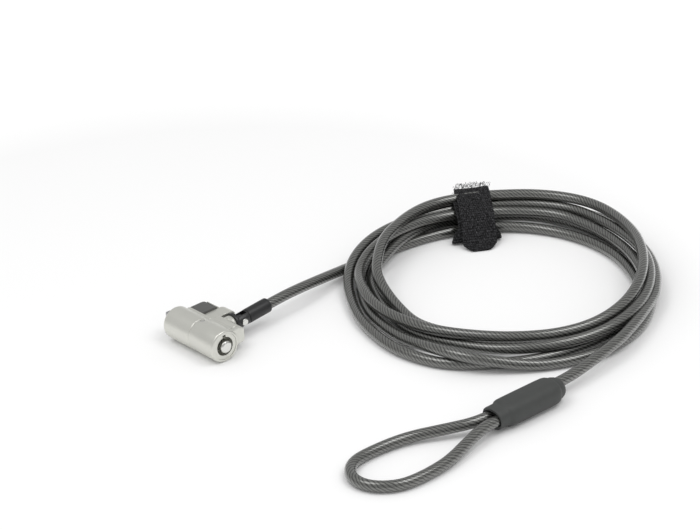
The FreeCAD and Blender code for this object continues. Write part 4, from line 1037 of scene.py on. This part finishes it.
def add_loop(points, faces, foot, out, way, aside, rise, lean, turn):
    """One thread that leaves the fabric and bends back towards it."""
    thin, spread, bend = 0.085, 0.7, 0.8
    steps, sides = 5, 3
    start = len(points)
    for step in range(steps + 1):
        share = step / steps
        up = math.sin(share * math.pi * bend) * rise
        along = math.cos(turn) * share * rise * spread
        sideways = aside + math.sin(turn) * share * rise * spread + lean * share
        middle = foot + out * up + way * along
        for corner in range(sides):
            angle = corner * 2 * math.pi / sides
            spot = middle + out * math.cos(angle) * thin
            points.append(across_coil(spot.x, max(spot.z, 0.1), sideways + math.sin(angle) * thin))
    for step in range(steps):
        for corner in range(sides):
            low = start + step * sides
            high = low + sides
            following = (corner + 1) % sides
            faces.append((low + corner, high + corner, high + following, low + following))
    last = start + steps * sides
    faces.append(tuple(start + corner for corner in range(sides)))
    faces.append(tuple(last + corner for corner in reversed(range(sides))))


class CABLELOCK_OT_head(bpy.types.Operator):
    """Castings and turned parts at the laptop end"""
    bl_idname = "cable_lock.head"
    bl_label = "Lock head"

    def execute(self, context):
        finishes = context.scene.cable_lock_finishes
        nickel = cast_metal("satin_nickel_finish", finishes.nickel, 0.34)
        bright = bright_metal("polished_nickel_finish", finishes.bright, 0.16)
        housing = softened_housing(nickel)
        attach(housing, "lock_head")
        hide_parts("rear_housing")
        pad = moulded("grey_pad_finish", finishes.pad, 0.62, 0.02, 4.0)
        for node, name, width, material, body, slot in (
                ("front_casing", "front_casing_turned", 0.05, nickel, "lock_head", "satin_nickel"),
                ("lock_shell", "lock_shell_turned", 0.10, nickel, "lock_head", "satin_nickel"),
                ("tube_end_cap", "tube_end_cap_cast", 0.22, nickel, "lock_head", "satin_nickel"),
                ("shell_pin", "shell_pin_turned", 0.12, bright, "lock_head", "satin_nickel"),
                ("lock_plug", "lock_plug_turned", 0.10, bright, "lock_core", "polished_nickel"),
                ("pad_clip", "pad_clip_bent", 0.08, bright, "lock_head", "polished_nickel"),
                ("guard_pad", "guard_pad_moulded", 0.20, pad, "lock_head", "grey_plastic")):
            eased(node, name, width, material, body)
        return {"FINISHED"}


def softened_housing(material):
    """The casting with its corners and hollows run together as castings are."""
    cell, pull, rounds, kept_share = 0.2, 0.5, 14, 0.35
    piece = new_object("rear_housing_cast", own_mesh("rear_housing", "rear_housing_cast"), material)
    remesh = piece.modifiers.new("even", "REMESH")
    remesh.mode = "VOXEL"
    remesh.voxel_size = cell * MM
    remesh.use_smooth_shade = True
    ease = piece.modifiers.new("ease", "SMOOTH")
    ease.factor = pull
    ease.iterations = rounds
    applied(piece)
    thin = piece.modifiers.new("thin", "DECIMATE")
    thin.ratio = kept_share
    applied(piece)
    piece.data.shade_smooth()
    return piece


class CABLELOCK_OT_swivel(bpy.types.Operator):
    """Black swivel, fork, rivet and sleeve"""
    bl_idname = "cable_lock.swivel"
    bl_label = "Swivel and cable end"

    def execute(self, context):
        finishes = context.scene.cable_lock_finishes
        paint = painted("black_paint_finish", finishes.paint, 0.38, 0.3, 0.5)
        bright = bright_metal("rivet_finish", finishes.bright, 0.22)
        rubber = moulded("sleeve_rubber_finish", (0.013, 0.013, 0.014), 0.42, 0.02, 3.0)
        eased("swivel_yoke", "swivel_yoke_machined", 0.18, paint, "swivel_yoke")
        eased("cable_end_fork", "cable_end_fork_machined", 0.16, paint, "cable")
        eased("cable_rivet", "cable_rivet_headed", 0.10, bright, "cable")
        eased("strain_sleeve", "strain_sleeve_moulded", 0.45, rubber, "cable")
        return {"FINISHED"}


class CABLELOCK_OT_inside(bpy.types.Operator):
    """Finishes of the parts inside the lock and at its nose"""
    bl_idname = "cable_lock.inside"
    bl_label = "Inner parts"

    def execute(self, context):
        brass = bright_metal("brass_finish", (0.62, 0.46, 0.20), 0.30)
        steel = bright_metal("inner_steel_finish", (0.45, 0.45, 0.46), 0.30)
        eased("t_bar", "t_bar_machined", 0.10, steel, "lock_core")
        for node in ("pin_block", "key_pins", "driver_pins", "nose_bush"):
            surface_only(node, brass)
        for node in ("guide_pins", "drive_spindle", "cam_disc", "stop_pin", "retaining_clip",
                     "pin_springs", "swivel_retaining_pin"):
            surface_only(node, steel)
        return {"FINISHED"}


class CABLELOCK_PT_panel(bpy.types.Panel):
    """Pieces of the cable lock"""
    bl_label = "Cable Lock"
    bl_idname = "CABLELOCK_PT_panel"
    bl_space_type = "VIEW_3D"
    bl_region_type = "UI"
    bl_category = "Cable Lock"

    def draw(self, context):
        for operator in OPERATORS:
            self.layout.operator(operator.bl_idname)
        for holder in GROUPS:
            box = self.layout.box()
            settings = getattr(context.scene, holder)
            for name in settings.bl_rna.properties.keys():
                if name not in ("rna_type", "name"):
                    box.prop(settings, name)


GROUPS = {
    "cable_lock_finishes": LockFinishes,
    "cable_lock_cable": CableSizes,
    "cable_lock_strap": StrapSizes,
    "cable_lock_stage": StageSizes,
}
OPERATORS = (CABLELOCK_OT_stage, CABLELOCK_OT_ferrule, CABLELOCK_OT_swivel, CABLELOCK_OT_cable,
             CABLELOCK_OT_strap, CABLELOCK_OT_head, CABLELOCK_OT_inside)


def register():
    for kind in tuple(GROUPS.values()) + OPERATORS + (CABLELOCK_PT_panel,):
        bpy.utils.register_class(kind)
    for name, group in GROUPS.items():
        setattr(bpy.types.Scene, name, PointerProperty(type=group))


def unregister():
    for name in GROUPS:
        delattr(bpy.types.Scene, name)
    for kind in (CABLELOCK_PT_panel,) + OPERATORS + tuple(GROUPS.values()):
        bpy.utils.unregister_class(kind)


def main():
    """Dress the solids and set the stage."""
    register()
    bpy.context.scene.view_settings.view_transform = "Standard"
    bpy.ops.cable_lock.stage()
    bpy.ops.cable_lock.ferrule()
    bpy.ops.cable_lock.swivel()
    bpy.ops.cable_lock.cable()
    bpy.ops.cable_lock.strap()
    bpy.ops.cable_lock.head()
    bpy.ops.cable_lock.inside()


if __name__ == "__main__":
    main()
